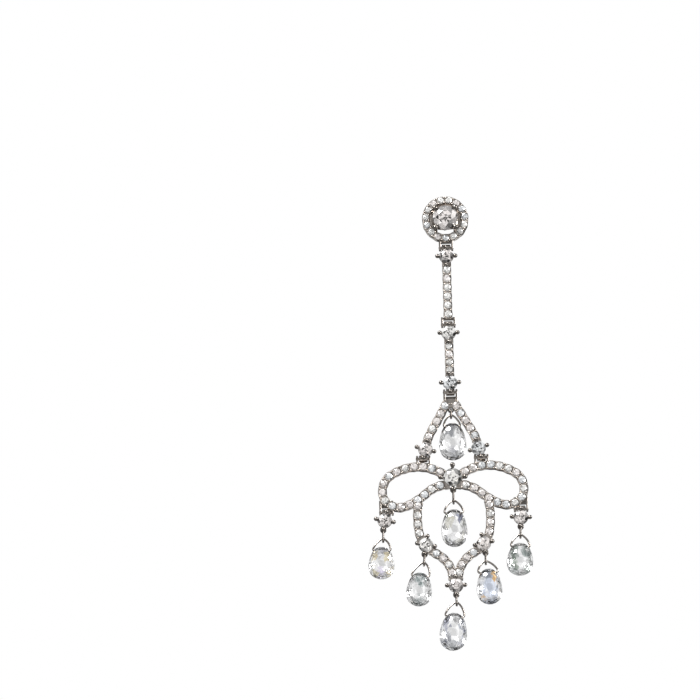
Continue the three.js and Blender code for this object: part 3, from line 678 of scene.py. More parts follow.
def eye(metal, x, z):
    """The fixed ring under a setting that a link hangs in."""
    angles = [2 * math.pi * k / EYE_POINTS for k in range(EYE_POINTS)]
    ring = [(x + EYE_WIDTH_SHARE * EYE_R * math.cos(a), HANG_Y, z + EYE_R * math.sin(a)) for a in angles]
    metal.add(*tube(ring, EYE_WIRE, EYE_SIDES, True), tone=CLAW_PAINTED_SHADE)


# Hinges
KNUCKLE_R = 0.54
KNUCKLE_HALF = 0.65
KNUCKLE_FIT = 0.97
KNUCKLE_BORE = 0.33
KNUCKLE_EASE, BORE_EASE = 0.07, 0.03
KNUCKLE_SIDES = 28
WEB_WIDTH_SHARE, WEB_DEPTH_SHARE = 1.6, 1.25
WEB_START = 0.36
PIN_R = 0.22
PIN_SIDES = 20
PIN_HEAD = [(ON_AXIS, 0.055), (0.14, 0.045), (PIN_R, 0.0)]
CHEEK_GAP = 0.12
CHEEK_T = 0.3
CHEEK_R = 0.48
CHEEK_EASE = 0.045
CHEEK_HALF_DEPTH = 0.9 * CHEEK_R
CHEEK_X = KNUCKLE_HALF + CHEEK_GAP + CHEEK_T / 2
CHEEK_ARC = 12
BRIDGE_HALF_DEPTH = 0.38 * CHEEK_R
BRIDGE_EASE = 0.04
NOTCH_CLEARANCE = 0.13
# How far the cheeks run from the pin
CLEVIS_REACH = 1.1
OUTER_CLEVIS_REACH = 1.75
APEX_REACH = 1.5


def cheek(metal, outline, x):
    """A plate in the Y and Z plane, thick along X, with its edges eased. outline is (y, z) pairs."""
    pts = np.array(outline, float)
    mid = pts.mean(0)
    d = pts - mid
    inner = mid + d * (1 - CHEEK_EASE / np.linalg.norm(d, axis=1)[:, None])
    h = CHEEK_T / 2
    rows = [(inner, -h), (pts, -h + CHEEK_EASE), (pts, h - CHEEK_EASE), (inner, h)]
    verts = [(x + dx, y, z) for ring, dx in rows for y, z in ring]
    metal.add(verts, capped_grid(len(rows), len(pts)), tone=HINGE_PAINTED_SHADE)


def clevis(metal, hinge, reach):
    """Two round-ended cheeks with a headed pin and a bridge. reach runs up, or down if negative."""
    x, y, z = hinge
    at = Matrix.Translation((x, y, z))
    outer = CHEEK_X + CHEEK_T / 2
    angles = [math.pi * k / CHEEK_ARC for k in range(CHEEK_ARC + 1)]
    round_end = math.copysign(CHEEK_R, reach)
    outline = [(y + CHEEK_R * math.cos(a), z - round_end * math.sin(a)) for a in angles]
    outline += [(y - CHEEK_HALF_DEPTH, z + reach), (y + CHEEK_HALF_DEPTH, z + reach)]
    pin_head = [(r, outer + out) for r, out in PIN_HEAD] + [(PIN_R, CHEEK_X), (ON_AXIS, CHEEK_X)]
    for side in (-1, 1):
        cheek(metal, outline, x + side * CHEEK_X)
        flip = at @ Matrix.Scale(side, 4, (1, 0, 0))
        metal.add(*lathe(pin_head, PIN_SIDES, "X"), matrix=flip, tone=HINGE_PAINTED_SHADE)
    pin = [(PIN_R, -CHEEK_X), (PIN_R, CHEEK_X)]
    metal.add(*lathe(pin, PIN_SIDES, "X"), matrix=at, tone=HINGE_PAINTED_SHADE)
    start = KNUCKLE_R + NOTCH_CLEARANCE
    middle = z + math.copysign((abs(reach) + start) / 2, reach)
    size = (2 * outer, 2 * BRIDGE_HALF_DEPTH, abs(reach) - start)
    block(metal, (x, y, middle), size, BRIDGE_EASE, BRIDGE_PAINTED_SHADE)


def knuckle(metal, hinge, head_x, head_z):
    """The barrel that turns on the pin, and its web back to the setting."""
    x, y, z = hinge
    at = Matrix.Translation((x, y, z))
    w, r = KNUCKLE_HALF, KNUCKLE_R * KNUCKLE_FIT
    bore = KNUCKLE_BORE
    end = [(bore, BORE_EASE), (bore + BORE_EASE, 0), (r - KNUCKLE_EASE, 0), (r, KNUCKLE_EASE)]
    barrel = [(out, inset - w) for out, inset in end]
    barrel += [(out, w - inset) for out, inset in reversed(end)]
    metal.add(*lathe(barrel, KNUCKLE_SIDES, "X", True), matrix=at, tone=HINGE_PAINTED_SHADE)
    away = np.array([head_x - x, head_z - z])
    length = np.linalg.norm(away)
    turn = Matrix.Rotation(math.atan2(away[0], away[1]), 4, "Y")
    web = Mesh()
    size = (w * WEB_WIDTH_SHARE, KNUCKLE_R * WEB_DEPTH_SHARE, length - WEB_START)
    block(web, (0, 0, (length + WEB_START) / 2), size)
    metal.add(web.verts[0], web.faces, matrix=at @ turn, tone=HINGE_PAINTED_SHADE)


# Drops hang from a link and a bail
LINK_LENGTH = 2.0
LINK_HALF = 0.38
LINK_WIRE = 0.17
LINK_ARC, LINK_SIDES = 8, 14
BAIL_HEIGHT = 1.9
BAIL_HALF = 1.42
BAIL_WIRE = 0.155
BAIL_FIT = 0.95
BAIL_SIDES = 12
HANG_GAP = 0.12
DROP_WIDTH = 4.0
DROP_LENGTH = 5.9
DROP_THICK_SHARE = 0.62
DRILL_BELOW_TOP = 0.68
DRILL_R = 0.24
DRILL_SIDES = 20
# For each drop: shares of LINK_LENGTH, BAIL_HEIGHT, BAIL_HALF (the bail's half width, and how far its top
# is moved sideways), DROP_WIDTH and DROP_LENGTH, and the leans of the link and the drop in degrees
Drop = namedtuple("Drop", "link link_lean bail half shift lean width length")
DROPS = {
    "top": Drop(0.63, 0, 0.95, 0.87, -0.06, -0.8, 1.04, 0.997),
    "centre": Drop(1.05, 0, 1.02, 1, 0, 0, 0.99, 1.003),
    "outer_left": Drop(0.91, 2, 0.96, 0.93, 0.16, 2, 0.99, 0.858),
    "outer_right": Drop(0.85, 3, 0.98, 1, -0.02, 3.2, 1, 0.87),
    "lyre_left": Drop(0.86, 5, 1.14, 0.93, 0.31, 5.6, 0.975, 0.897),
    "lyre_right": Drop(0.88, 0, 0.93, 1.05, -0.2, -2.2, 0.97, 0.95),
    "base": Drop(0.81, -1, 1.16, 1, 0.1, 5.9, 1.04, 1.003),
}
# One side of a bail, as shares of its half width and its height from the top
BAIL_SIDE = [(0.46, 0.2), (0.85, 0.57), (0.98, 0.9), (0.80, 1.0)]
# Half of a drop's outline, as shares of its length and of its half width
PEAR = [
    (0.0, 0.0), (0.04, 0.38), (0.17, 0.71), (0.38, 0.92),
    (0.60, 1.0), (0.80, 0.88), (0.94, 0.52), (1.0, 0.0),
]
PEAR_CURVE = spline([(down, out, 0) for down, out in PEAR], False, 10)
# The drop's widest place, as a share of its length from the top
BELLY = 0.54
PEAR_END = 0.012
# Rings of a drop's facets on each face, from the edge to the table
Facets = namedtuple("Facets", "scale depth corners phase shake")
FACET_RINGS = [
    Facets(0.985, 0.10, 28, 0.0, 0.0),
    Facets(0.91, 0.42, 24, 0.5, 0.012),
    Facets(0.79, 0.66, 20, 0.0, 0.014),
    Facets(0.64, 0.83, 16, 0.5, 0.014),
    Facets(0.46, 0.94, 11, 0.0, 0.01),
    Facets(0.26, 0.99, 6, 0.5, 0.0),
]
BACK_PHASE = 0.25
SHAKE_DOWN = 0.7
FLAT_DEG = 1.0
# Painted light and shade: the tones painted on the facets round a drop's edge, darker, and on those in its
# middle, lighter
EDGE_PAINTED_SHADES = (1.0, 1.0, 0.9, 0.7, 0.5, 0.28)
WINDOW_PAINTED_SHADES = (1.0, 1.0, 1.0, 0.9)
WINDOW_SIZE = 0.3
# Painted reflections, dark and coloured, on groups of facets: their middle, as shares of the drop's half
# width and length, how far they reach, and their colour. Most facets in reach take it.
MARK_DOWN_WEIGHT = 1.4
MARK_CHANCE = 0.8
PAINTED_REFLECTIONS = {
    "top": [(-0.15, 0.22, 0.30, (0.35, 0.36, 0.38)), (0.05, 0.78, 0.30, (0.5, 0.5, 0.53))],
    "centre": [(0.45, 0.22, 0.24, (0.12, 0.13, 0.2)), (-0.4, 0.25, 0.35, (0.72, 0.7, 0.6))],
    "outer_left": [
        (0.0, 0.12, 0.35, (0.4, 0.4, 0.42)), (-0.5, 0.32, 0.24, (0.5, 0.4, 0.22)),
        (0.4, 0.32, 0.24, (0.55, 0.46, 0.25)), (-0.1, 0.75, 0.3, (0.75, 0.7, 0.85)),
    ],
    "outer_right": [
        (-0.45, 0.32, 0.3, (0.16, 0.19, 0.17)), (0.45, 0.24, 0.34, (0.25, 0.29, 0.28)),
        (-0.35, 0.64, 0.25, (0.2, 0.24, 0.2)),
    ],
    "lyre_left": [(0.1, 0.14, 0.4, (0.3, 0.35, 0.35)), (0.0, 0.9, 0.3, (0.3, 0.32, 0.32))],
    "lyre_right": [
        (0.35, 0.25, 0.2, (1.0, 0.42, 0.1)), (0.0, 0.14, 0.3, (0.3, 0.32, 0.36)),
        (0.0, 0.75, 0.6, (0.72, 0.77, 0.88)),
    ],
    "base": [
        (-0.5, 0.3, 0.28, (0.3, 0.31, 0.4)), (0.65, 0.33, 0.28, (0.25, 0.27, 0.33)),
        (-0.4, 0.74, 0.25, (0.28, 0.29, 0.32)), (0.05, 0.9, 0.25, (0.3, 0.31, 0.33)),
    ],
}


def pear_half(share):
    """Half width of a drop's outline at a share of its length."""
    return float(np.interp(share, PEAR_CURVE[:, 0], PEAR_CURVE[:, 1]))


def briolette(width, length, seed):
    """A flattened faceted pear. Rings of facets shrink from its edge towards a table on each face.
    The drill hole's centre is the origin."""
    draw = random.Random(seed)
    half = width / 2
    deep = half * DROP_THICK_SHARE
    bm = bmesh.new()
    for ring in FACET_RINGS:
        for sign in (-1, 1):
            phase = ring.phase + (BACK_PHASE if sign > 0 else 0)
            for k in range(ring.corners):
                a = 2 * math.pi * (k + phase) / ring.corners
                reach = 1 - BELLY if math.cos(a) < 0 else BELLY
                share = min(max(BELLY - reach * math.cos(a), PEAR_END), 1 - PEAR_END)
                x = math.copysign(pear_half(share), math.sin(a)) * half * ring.scale
                z = -length * (BELLY + (share - BELLY) * ring.scale)
                shake = draw.uniform(-1, 1) * ring.shake * width
                bm.verts.new((x + shake, sign * ring.depth * deep, z + SHAKE_DOWN * shake + DRILL_BELOW_TOP))
    bmesh.ops.convex_hull(bm, input=bm.verts)
    loose = [v for v in bm.verts if not v.link_faces]
    bmesh.ops.delete(bm, geom=loose, context="VERTS")
    bmesh.ops.dissolve_limit(bm, angle_limit=math.radians(FLAT_DEG), verts=bm.verts, edges=bm.edges)
    return bm


def facet_painted_shade(draw, across, down, painted_reflections):
    """The painted light and shade of a drop's facet whose middle is at these shares of its half width and
    length.
    """
    near_edge = across ** 2 + ((down - BELLY) / 0.5) ** 2 > WINDOW_SIZE
    tone = draw.choice(EDGE_PAINTED_SHADES if near_edge else WINDOW_PAINTED_SHADES)
    tint_and_shade = (tone, tone, tone)
    for mark_across, mark_down, reach, reflection_colour in painted_reflections:
        away = math.hypot(across - mark_across, MARK_DOWN_WEIGHT * (down - mark_down))
        if away < reach and draw.random() < MARK_CHANCE:
            tint_and_shade = reflection_colour
    return (*tint_and_shade, 1.0)


def make_link(name, body, at, link_length):
    """An oval link, seen edge-on."""
    h = LINK_HALF
    pts = []
    for middle, start in ((-h, 0), (h - link_length, math.pi)):
        for k in range(LINK_ARC + 1):
            a = start + math.pi * k / LINK_ARC
            pts.append((0, h * math.cos(a), middle + h * math.sin(a)))
    link = Mesh()
    wire = tube(spline(pts, True, 3), LINK_WIRE, LINK_SIDES, True, up=(1, 0, 0))
    link.add(*wire, matrix=at, tone=LINK_PAINTED_SHADE)
    metal_object(link, name + "_link_wire", body, name + "_link")


def make_bail(name, body, at, height, half, shift):
    """A bent wire from the drop's hole up through the link. shift moves its top sideways."""
    def side(sign):
        return [(sign * out * half + shift * (1 - down), 0, height * (1 - down)) for out, down in BAIL_SIDE]

    loop = spline([(shift, 0, height)] + side(1) + side(-1)[::-1], True, 8)
    bail = Mesh()
    bail.add(*tube(loop, BAIL_WIRE * BAIL_FIT, BAIL_SIDES, True), matrix=at, tone=BAIL_PAINTED_SHADE)
    metal_object(bail, name + "_bail_wire", body, name + "_bail")


def drill(obj, at, half_length):
    """Cuts the bail's hole across the top of a drop."""
    bore = Mesh()
    bore.add(*lathe([(DRILL_R, -half_length), (DRILL_R, half_length)], DRILL_SIDES, "X"), matrix=at)
    cutter_mesh = bpy.data.meshes.new("drill")
    cutter_mesh.from_pydata((np.concatenate(bore.verts) * MM).tolist(), [], bore.faces)
    cutter = bpy.data.objects.new("drill", cutter_mesh)
    bpy.context.scene.collection.objects.link(cutter)
    cut = obj.modifiers.new("drill", "BOOLEAN")
    cut.operation = "DIFFERENCE"
    cut.solver = "EXACT"
    cut.object = cutter
    bpy.context.view_layer.update()
    done = bpy.data.meshes.new_from_object(obj.evaluated_get(bpy.context.evaluated_depsgraph_get()))
    obj.modifiers.clear()
    obj.data = done
    bpy.data.objects.remove(cutter)


def make_drop_stone(name, body, at, width, length):
    bm = briolette(width, length, len(name) * 31 + int(10 * width))
    mesh = bpy.data.meshes.new(name + "_body")
    bm.to_mesh(mesh)
    bm.free()
    to_place = Matrix.Scale(MM, 4) @ at
    mesh.transform(to_place)
    mesh.materials.append(DROP_STONE)
    obj = bpy.data.objects.new(name + "_drop_cut", mesh)
    bpy.context.scene.collection.objects.link(obj)
    drill(obj, at, width)
    draw = random.Random(name)
    inside = to_place.inverted()
    tints = []
    for poly in obj.data.polygons:
        middle = inside @ poly.center
        across, down = middle.x / (width / 2), (DRILL_BELOW_TOP - middle.z) / length
        tints.append(facet_painted_shade(draw, across, down, PAINTED_REFLECTIONS[name]))
    write_tints(obj.data, tints)
    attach(obj, body)
    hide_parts(name + "_drop")


def hang_drop(name, body, x, z):
    """A link, a bail and a drilled drop, hung from the eye at (x, z)."""
    drop = DROPS[name]
    link_length = drop.link * LINK_LENGTH
    height, half, shift = drop.bail * BAIL_HEIGHT, drop.half * BAIL_HALF, drop.shift * BAIL_HALF
    link_lean, lean = math.radians(drop.link_lean), math.radians(drop.lean)
    hold = link_length - LINK_WIRE - HANG_GAP - BAIL_WIRE
    top_x, top_z = x - hold * math.sin(link_lean), z - hold * math.cos(link_lean)
    at = turned(top_x - shift * math.cos(lean) - height * math.sin(lean),
                top_z + shift * math.sin(lean) - height * math.cos(lean), drop.lean)
    make_link(name, body, turned(x, z, drop.link_lean), link_length)
    make_bail(name, body, at, height, half, shift)
    make_drop_stone(name, body, at, drop.width * DROP_WIDTH, drop.length * DROP_LENGTH)


# The settings that hold the round stones
FRAME_TURN = 16
LYRE_TURN = 11
OUTER_LEFT_TURN = 12
OUTER_RIGHT_TURN = 3
Head = namedtuple("Head", "body setting turn")
HEADS = {
    "upper_bar_diamond": Head("upper_bar", SMALL, 0),
    "lower_bar_diamond_high": Head("lower_bar", SMALL, 0),
    "lower_bar_diamond_low": Head("lower_bar", SMALL, 0),
    "frame_diamond_left": Head("top_frame", SMALL, FRAME_TURN),
    "frame_diamond_right": Head("top_frame", SMALL, -FRAME_TURN),
    "bow_diamond": Head("bow", BOW, 0),
    "lyre_diamond_left": Head("bow", SMALL, LYRE_TURN),
    "lyre_diamond_right": Head("bow", SMALL, -LYRE_TURN),
    "base_diamond": Head("bow", SMALL, 0),
    "outer_diamond_left": Head("outer_left", SMALL, OUTER_LEFT_TURN),
    "outer_diamond_right": Head("outer_right", SMALL, OUTER_RIGHT_TURN),
}


def middle_of(node):
    """The middle of a CAD node in the hanging plane."""
    lo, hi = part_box(node)
    return (lo.x + hi.x) / 2 / MM, (lo.z + hi.z) / 2 / MM


PLACE = {node: middle_of(node) for node in HEADS}
# Bands start inside a setting's cup, and their stones start by the tips of its claws
BAND_START_SHARE = 0.75
BAND_START = BAND_START_SHARE * SMALL.stone_r
PAVE_TUCK = 0.3
PAVE_START = HEAD_REACH + SMALL.tip_r - PAVE_TUCK


def eye_at(node):
    """Where a setting's eye is: below it, turned with it."""
    x, z = PLACE[node]
    _, setting, turn = HEADS[node]
    reach = setting.stone_r + setting.claw_out - EYE_ABOVE_CLAW
    a = math.radians(turn)
    return x - reach * math.sin(a), z - reach * math.cos(a)


def head(metal, node, with_eye=False):
    _, setting, turn = HEADS[node]
    claw_setting(metal, setting, turned(*PLACE[node], turn))
    if with_eye:
        eye(metal, *eye_at(node))


def build_round_stones():
    for node, (body, setting, turn) in HEADS.items():
        set_stone(node, body, setting, turned(*PLACE[node], turn))


def build_upper_bar():
    metal, stones = Mesh(), Mesh()
    pin = HINGE["bar_hinge"]
    head(metal, "upper_bar_diamond")
    knuckle(metal, HINGE["stud_hinge"], *PLACE["upper_bar_diamond"])
    clevis(metal, pin, CLEVIS_REACH)
    bottom = pin[2] + (CLEVIS_REACH + KNUCKLE_R + NOTCH_CLEARANCE) / 2
    line = straight(PLACE["upper_bar_diamond"][1] - BAND_START, bottom)
    lead = PAVE_START - BAND_START
    plain_band(metal, line, 0, lead)
    pave_band(metal, stones, line, lead, line.length)
    metal_object(metal, "upper_bar_metal", "upper_bar", "upper_bar")
    stone_object(stones, "upper_bar_pave", "upper_bar")


def build_lower_bar():
    metal, stones = Mesh(), Mesh()
    high, low = PLACE["lower_bar_diamond_high"], PLACE["lower_bar_diamond_low"]
    head(metal, "lower_bar_diamond_high")
    head(metal, "lower_bar_diamond_low")
    knuckle(metal, HINGE["bar_hinge"], *high)
    knuckle(metal, HINGE["frame_hinge"], *low)
    line = straight(high[1] - BAND_START, low[1] + BAND_START)
    lead = PAVE_START - BAND_START
    plain_band(metal, line, 0, lead)
    plain_band(metal, line, line.length - lead, line.length)
    pave_band(metal, stones, line, lead, line.length - lead)
    metal_object(metal, "lower_bar_metal", "lower_bar", "lower_bar")
    stone_object(stones, "lower_bar_pave", "lower_bar")


# The A-shaped frame. A leg's points are shares of the half width and the height.
FRAME_HALF_WIDTH = 3.97
FRAME_HEIGHT = 8.75
FRAME_LEG = [(0.09, 0.143), (0.49, 0.468), (0.885, 0.79), (1, 1)]
LEG_PAVE_START = 0.35
APEX_DROP = 0.25
APEX_SIZE = (1.5, 1.05, 1.3)
APEX_EASE = 0.08
BOW_PIN_X = FRAME_HALF_WIDTH + HEAD_REACH * math.sin(math.radians(FRAME_TURN))


def bow_pin(side):
    """One of the two pins that the bow turns on."""
    return np.array((side * BOW_PIN_X, HANG_Y, HINGE["bow_hinge"][2]))


def build_top_frame():
    metal, stones = Mesh(), Mesh()
    top_z = HINGE["frame_hinge"][2]
    clevis(metal, HINGE["frame_hinge"], -APEX_REACH)
    block(metal, (0, HANG_Y, top_z - APEX_REACH - APEX_DROP), APEX_SIZE, APEX_EASE)
    for side, node in ((-1, "frame_diamond_left"), (1, "frame_diamond_right")):
        leg = Line([(side * o * FRAME_HALF_WIDTH, top_z - d * FRAME_HEIGHT) for o, d in FRAME_LEG])
        last = leg.length - PAVE_START
        pave_band(metal, stones, leg, LEG_PAVE_START, last)
        plain_band(metal, leg, last, leg.length - BAND_START)
        head(metal, node)
        knuckle(metal, bow_pin(side), *PLACE[node])
    top_eye = (0.0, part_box("top_link")[1].z / MM - LINK_WIRE)
    eye(metal, *top_eye)
    metal_object(metal, "top_frame_metal", "top_frame", "top_frame")
    stone_object(stones, "top_frame_pave", "top_frame")
    hang_drop("top", "top_frame", *top_eye)


# The bow and the lyre. Points are shares of the half width and the height, from the bow's stone.
BOW_HALF_SPAN = 10.58
BOW_HEIGHT = 6.13
LYRE_HALF_WIDTH = 5.45
LYRE_HEIGHT = 16.5
BOW_LOOP = [
    (0.06, -0.02), (0.206, -0.168), (0.366, -0.269), (0.516, -0.294), (0.675, -0.253), (0.826, -0.147),
    (0.933, -0.016), (0.99, 0.163), (1, 0.343), (0.976, 0.506), (0.896, 0.644), (0.788, 0.706),
    (0.666, 0.677), (0.563, 0.595), (0.441, 0.457), (0.319, 0.294), (0.188, 0.196), (0.05, 0.155),
]
LYRE_SIDE = [
    (0.91, 0.186), (0.985, 0.264), (1, 0.361), (0.985, 0.458), (0.93, 0.542), (0.79, 0.618),
    (0.6, 0.679), (0.4, 0.722), (0.228, 0.779), (0.116, 0.851), (0.075, 0.94),
]
LOOP_PLAIN = 0.75
LYRE_PAVE_START = 0.55
LYRE_PLAIN_END = 0.35
KNOT_SIZE = (1.4, 1.1, 1.3)


def bow_loop(metal, stones, side, centre_z):
    loop = Line([(side * o * BOW_HALF_SPAN, centre_z - d * BOW_HEIGHT) for o, d in BOW_LOOP])
    plain_band(metal, loop, 0, LOOP_PLAIN)
    pave_band(metal, stones, loop, LOOP_PLAIN, loop.length - LOOP_PLAIN)
    plain_band(metal, loop, loop.length - LOOP_PLAIN, loop.length)


def lyre_side(metal, stones, side, centre_z, node):
    """One side of the lyre, plain where it passes under its setting."""
    lyre = Line([(side * o * LYRE_HALF_WIDTH, centre_z - d * LYRE_HEIGHT) for o, d in LYRE_SIDE])
    head_x, head_z = PLACE[node]
    gaps = np.hypot(lyre.pts[:, 0] - head_x, lyre.pts[:, 1] - head_z)
    by_head = lyre.s[int(gaps.argmin())]
    last = lyre.length - LYRE_PLAIN_END
    pave_band(metal, stones, lyre, LYRE_PAVE_START, by_head - PAVE_START)
    plain_band(metal, lyre, by_head - PAVE_START, by_head + PAVE_START)
    pave_band(metal, stones, lyre, by_head + PAVE_START, last)
    plain_band(metal, lyre, last, lyre.length)


def build_bow():
    metal, stones = Mesh(), Mesh()
    centre_z = PLACE["bow_diamond"][1]
    for side, word in ((-1, "left"), (1, "right")):
        bow_loop(metal, stones, side, centre_z)
        lyre_side(metal, stones, side, centre_z, "lyre_diamond_" + word)
        clevis(metal, bow_pin(side), -CLEVIS_REACH)
        clevis(metal, HINGE["outer_%s_hinge" % word], OUTER_CLEVIS_REACH)
    drops = {
        "centre": "bow_diamond", "lyre_left": "lyre_diamond_left",
        "lyre_right": "lyre_diamond_right", "base": "base_diamond",
    }
    for node in drops.values():
        head(metal, node, True)
    block(metal, (0, HANG_Y, centre_z), KNOT_SIZE)
    metal_object(metal, "bow_frame_metal", "bow", "bow_frame")
    stone_object(stones, "bow_frame_pave", "bow")
    for drop, node in drops.items():
        hang_drop(drop, "bow", *eye_at(node))


def build_outer_setting(word):
    """A setting hinged under one of the bow's corners."""
    metal = Mesh()
    node = "outer_diamond_" + word
    body = HEADS[node].body
    head(metal, node, True)
    knuckle(metal, HINGE["outer_%s_hinge" % word], *PLACE[node])
    metal_object(metal, "outer_setting_%s_metal" % word, body, "outer_setting_" + word)
    hang_drop("outer_" + word, body, *eye_at(node))


# The stud
STUD_Z = -1.05
HALO_R = 3.5
HALO_HOLE_R = 2.3
HALO = Band(HALO_R - HALO_HOLE_R, -0.7, 0.66, 0.7)
HALO_STONES = 15
HALO_STONE_R = 0.52
HALO_POINTS = 24
STUD_TURN = 45
STUD_LIFT = 0.6
STUD_CHEEK_TUCK = 0.3
# The plate that closes the halo's back, and the slot left open under the big stone
PLATE_R = 2.45
PLATE_FRONT, PLATE_BACK = -0.46, -0.04
SLOT_HALF_WIDTH = 1.2
SLOT_DROP = 1.3
SLOT_SAG = 0.12
SLOT_SWEEP = 1.57
PLATE_POINTS, SLOT_POINTS = 48, 9
# The post with its notch, as (radius, distance behind the stud)
POST_SIDES = 32
POST = [
    (ON_AXIS, 0.1), (0.70, 0.1), (0.75, 0.14), (0.75, 0.36), (0.70, 0.4), (0.5, 0.42), (0.42, 0.52),
    (0.42, 8.1), (0.33, 8.3), (0.33, 8.5), (0.42, 8.7), (0.42, 9.6), (0.36, 9.85), (0.22, 9.97),
    (ON_AXIS, 10.0),
]


def halo_plate(metal):
    start = math.acos(SLOT_HALF_WIDTH / PLATE_R)
    sweep = np.linspace(-start, math.pi + start, PLATE_POINTS)
    arc = [(PLATE_R * math.cos(a), PLATE_R * math.sin(a)) for a in sweep]
    for a in np.linspace(-SLOT_SWEEP, SLOT_SWEEP, SLOT_POINTS):
        arc.append((SLOT_HALF_WIDTH * math.sin(a), -SLOT_DROP - SLOT_SAG * math.cos(a)))
    plate = [(x, y, STUD_Z + z) for y in (PLATE_FRONT, PLATE_BACK) for x, z in arc]
    metal.add(plate, capped_grid(2, len(arc)))


def build_stud():
    metal, stones = Mesh(), Mesh()
    ring_r = (HALO_R + HALO_HOLE_R) / 2
    angles = [2 * math.pi * k / HALO_POINTS for k in range(HALO_POINTS)]
    circle = Line([(ring_r * math.sin(a), STUD_Z + ring_r * math.cos(a)) for a in angles], True)
    pave_band(metal, stones, circle, 0, circle.length, HALO, HALO_STONES, HALO_STONE_R)
    at = turned(0, STUD_Z, STUD_TURN)
    claw_setting(metal, STUD, at, STUD_LIFT)
    halo_plate(metal)
    clevis(metal, HINGE["stud_hinge"], STUD_Z - HALO_R - HINGE["stud_hinge"][2] + STUD_CHEEK_TUCK)
    metal_object(metal, "stud_metal", "stud", "stud_halo")
    stone_object(stones, "stud_pave", "stud")
    set_stone("stud_diamond", "stud", STUD, at, STUD_LIFT)


def build_post():
    post = Mesh()
    post.add(*lathe(POST, POST_SIDES))
    metal_object(post, "ear_post_wire", "stud", "ear_post")


build_round_stones()
build_upper_bar()
build_lower_bar()
build_top_frame()
build_bow()
build_outer_setting("left")
build_outer_setting("right")
build_stud()
build_post()

# Camera: from a little below and turned slightly, as in the photo
ELEVATION = math.radians(-12.0)
ROLL = math.radians(-1.6)
PIXELS = 700
PIXEL_M = 0.00015
DISTANCE = 2.0
SENSOR = 36
# The point of the hanging plane at the middle of the picture
AIM = Vector((-0.01485, HANG_Y * MM, -0.02066))


def place_camera():
    data = bpy.data.cameras.new("camera")
    cam = bpy.data.objects.new("camera", data)
    bpy.context.scene.collection.objects.link(cam)
    back = Vector((0, -math.cos(ELEVATION), math.sin(ELEVATION)))
    cam.location = AIM + back * DISTANCE
    look = (-back).to_track_quat("-Z", "Y").to_matrix().to_4x4()
    cam.matrix_world = Matrix.Translation(cam.location) @ look @ Matrix.Rotation(ROLL, 4, "Z")
    data.sensor_width = SENSOR
    data.lens = SENSOR * DISTANCE / (PIXELS * PIXEL_M)
    data.clip_start = 0.01
    data.clip_end = 20
    bpy.context.scene.camera = cam


FLOOR_Z = -0.6
FLOOR_HALF = 3


def make_floor():
    mesh = bpy.data.meshes.new("floor")
    bm = bmesh.new()
    bmesh.ops.create_grid(bm, x_segments=8, y_segments=8, size=FLOOR_HALF)
    bm.to_mesh(mesh)
    bm.free()
    floor = bpy.data.objects.new("floor", mesh)
    floor.location = (0, 0, FLOOR_Z)
    bpy.context.scene.collection.objects.link(floor)
    mesh.materials.append(make_floor_paint())
    floor.visible_glossy = False
    floor.visible_transmission = False


# The room's light, by direction. Patches are pairs of a dark and a bright level.
ROOM_PATCHES = (0.02, 0.85)
ROOM_EDGE = (0.46, 0.56)
CEILING_EDGE = (0.82, 0.97)
CEILING_LEVEL = 1.2
FRONT_PATCHES = (0.2, 1.25)
FRONT_EDGE = (0.43, 0.54)
BACKDROP_PATCHES = (0.82, 1.05)
BACKDROP_EDGE = (0.4, 0.55)
HIGH_EDGE = (0.3, 0.85)
LOW_EDGE, LOW_LEVELS = (-0.85, -0.3), (0.8, 0.0)
BEHIND_EDGE = (0.0, 0.4)
PATCH_NOISE = {"scale": 6.0, "detail": 1.0}


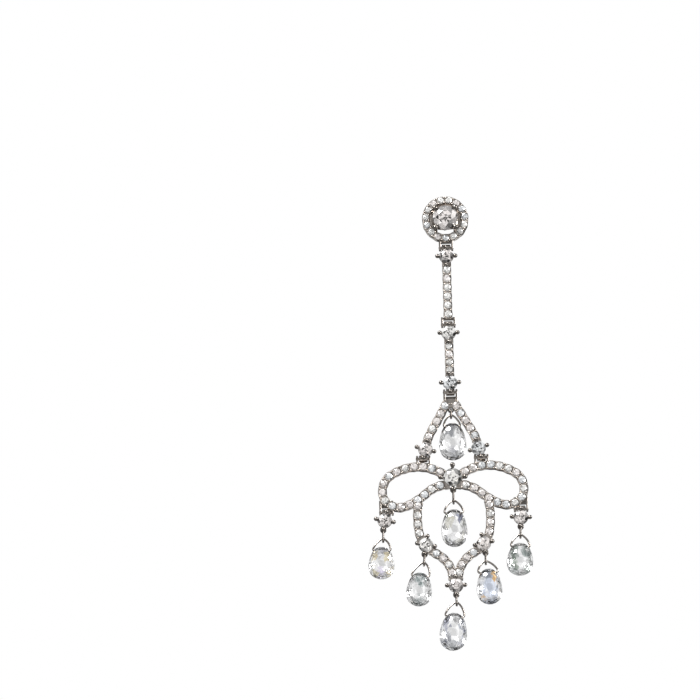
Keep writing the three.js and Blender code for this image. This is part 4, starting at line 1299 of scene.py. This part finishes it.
def light_the_room():
    """Mirrors see a dim room with a bright ceiling. Clear stones show the pale backdrop, with bright and
    dark patches in front. The picture itself shows plain white."""
    world = bpy.data.worlds.new("studio")
    bpy.context.scene.world = world
    world.use_nodes = True
    nodes, links = world.node_tree.nodes, world.node_tree.links
    nodes.clear()

    def ramp(source, edge, levels):
        node = nodes.new("ShaderNodeMapRange")
        node.interpolation_type = "SMOOTHSTEP"
        for key, value in zip(("From Min", "From Max", "To Min", "To Max"), (*edge, *levels)):
            node.inputs[key].default_value = value
        links.new(source, node.inputs["Value"])
        return node.outputs["Result"]

    def feed(socket, value):
        if isinstance(value, (int, float)):
            socket.default_value = value
        else:
            links.new(value, socket)

    def math_node(kind, a, b):
        node = nodes.new("ShaderNodeMath")
        node.operation = kind
        feed(node.inputs[0], a)
        feed(node.inputs[1], b)
        return node.outputs[0]

    def mixed(share, a, b):
        """a where share is 0 and b where it is 1."""
        part_a = math_node("MULTIPLY", math_node("SUBTRACT", 1.0, share), a)
        return math_node("ADD", part_a, math_node("MULTIPLY", share, b))

    def background(strength):
        node = nodes.new("ShaderNodeBackground")
        node.inputs["Color"].default_value = WHITE
        feed(node.inputs["Strength"], strength)
        return node.outputs[0]

    way = nodes.new("ShaderNodeTexCoord").outputs["Generated"]
    split = nodes.new("ShaderNodeSeparateXYZ")
    links.new(way, split.inputs[0])
    inward, up = split.outputs["Y"], split.outputs["Z"]
    patches = noise(nodes, links, way, **PATCH_NOISE)
    high = ramp(up, HIGH_EDGE, (0.0, 1.0))
    behind = math_node("MAXIMUM", ramp(up, LOW_EDGE, LOW_LEVELS), ramp(inward, BEHIND_EDGE, (0.0, 1.0)))
    ceiling = ramp(up, CEILING_EDGE, (0.0, 1.0))
    room = mixed(ceiling, ramp(patches, ROOM_EDGE, ROOM_PATCHES), CEILING_LEVEL)
    front = ramp(patches, FRONT_EDGE, FRONT_PATCHES)
    backdrop = ramp(patches, BACKDROP_EDGE, BACKDROP_PATCHES)
    through = mixed(math_node("MAXIMUM", high, behind), front, backdrop)
    path = nodes.new("ShaderNodeLightPath")
    pick = nodes.new("ShaderNodeMixShader")
    links.new(path.outputs["Is Camera Ray"], pick.inputs[0])
    links.new(background(mixed(path.outputs["Is Transmission Ray"], room, through)), pick.inputs[1])
    links.new(background(1.0), pick.inputs[2])
    out = nodes.new("ShaderNodeOutputWorld")
    links.new(pick.outputs[0], out.inputs["Surface"])


# Where the lamps point
LAMP_AIM = Vector((0, 0, -0.034))


def soft_light(name, place, size, power):
    data = bpy.data.lights.new(name, "AREA")
    data.shape = "RECTANGLE"
    data.size, data.size_y = size
    data.energy = power
    light = bpy.data.objects.new(name, data)
    light.location = place
    light.rotation_euler = (LAMP_AIM - Vector(place)).to_track_quat("-Z", "Y").to_euler()
    bpy.context.scene.collection.objects.link(light)


place_camera()
make_floor()
light_the_room()
soft_light("key_above_left", (-0.35, -0.45, 0.5), (0.26, 0.26), 9)
soft_light("fill_right", (0.6, -0.35, 0.12), (0.12, 0.4), 4)

scene = bpy.context.scene
scene.view_settings.view_transform = "Standard"
scene.view_settings.look = "None"
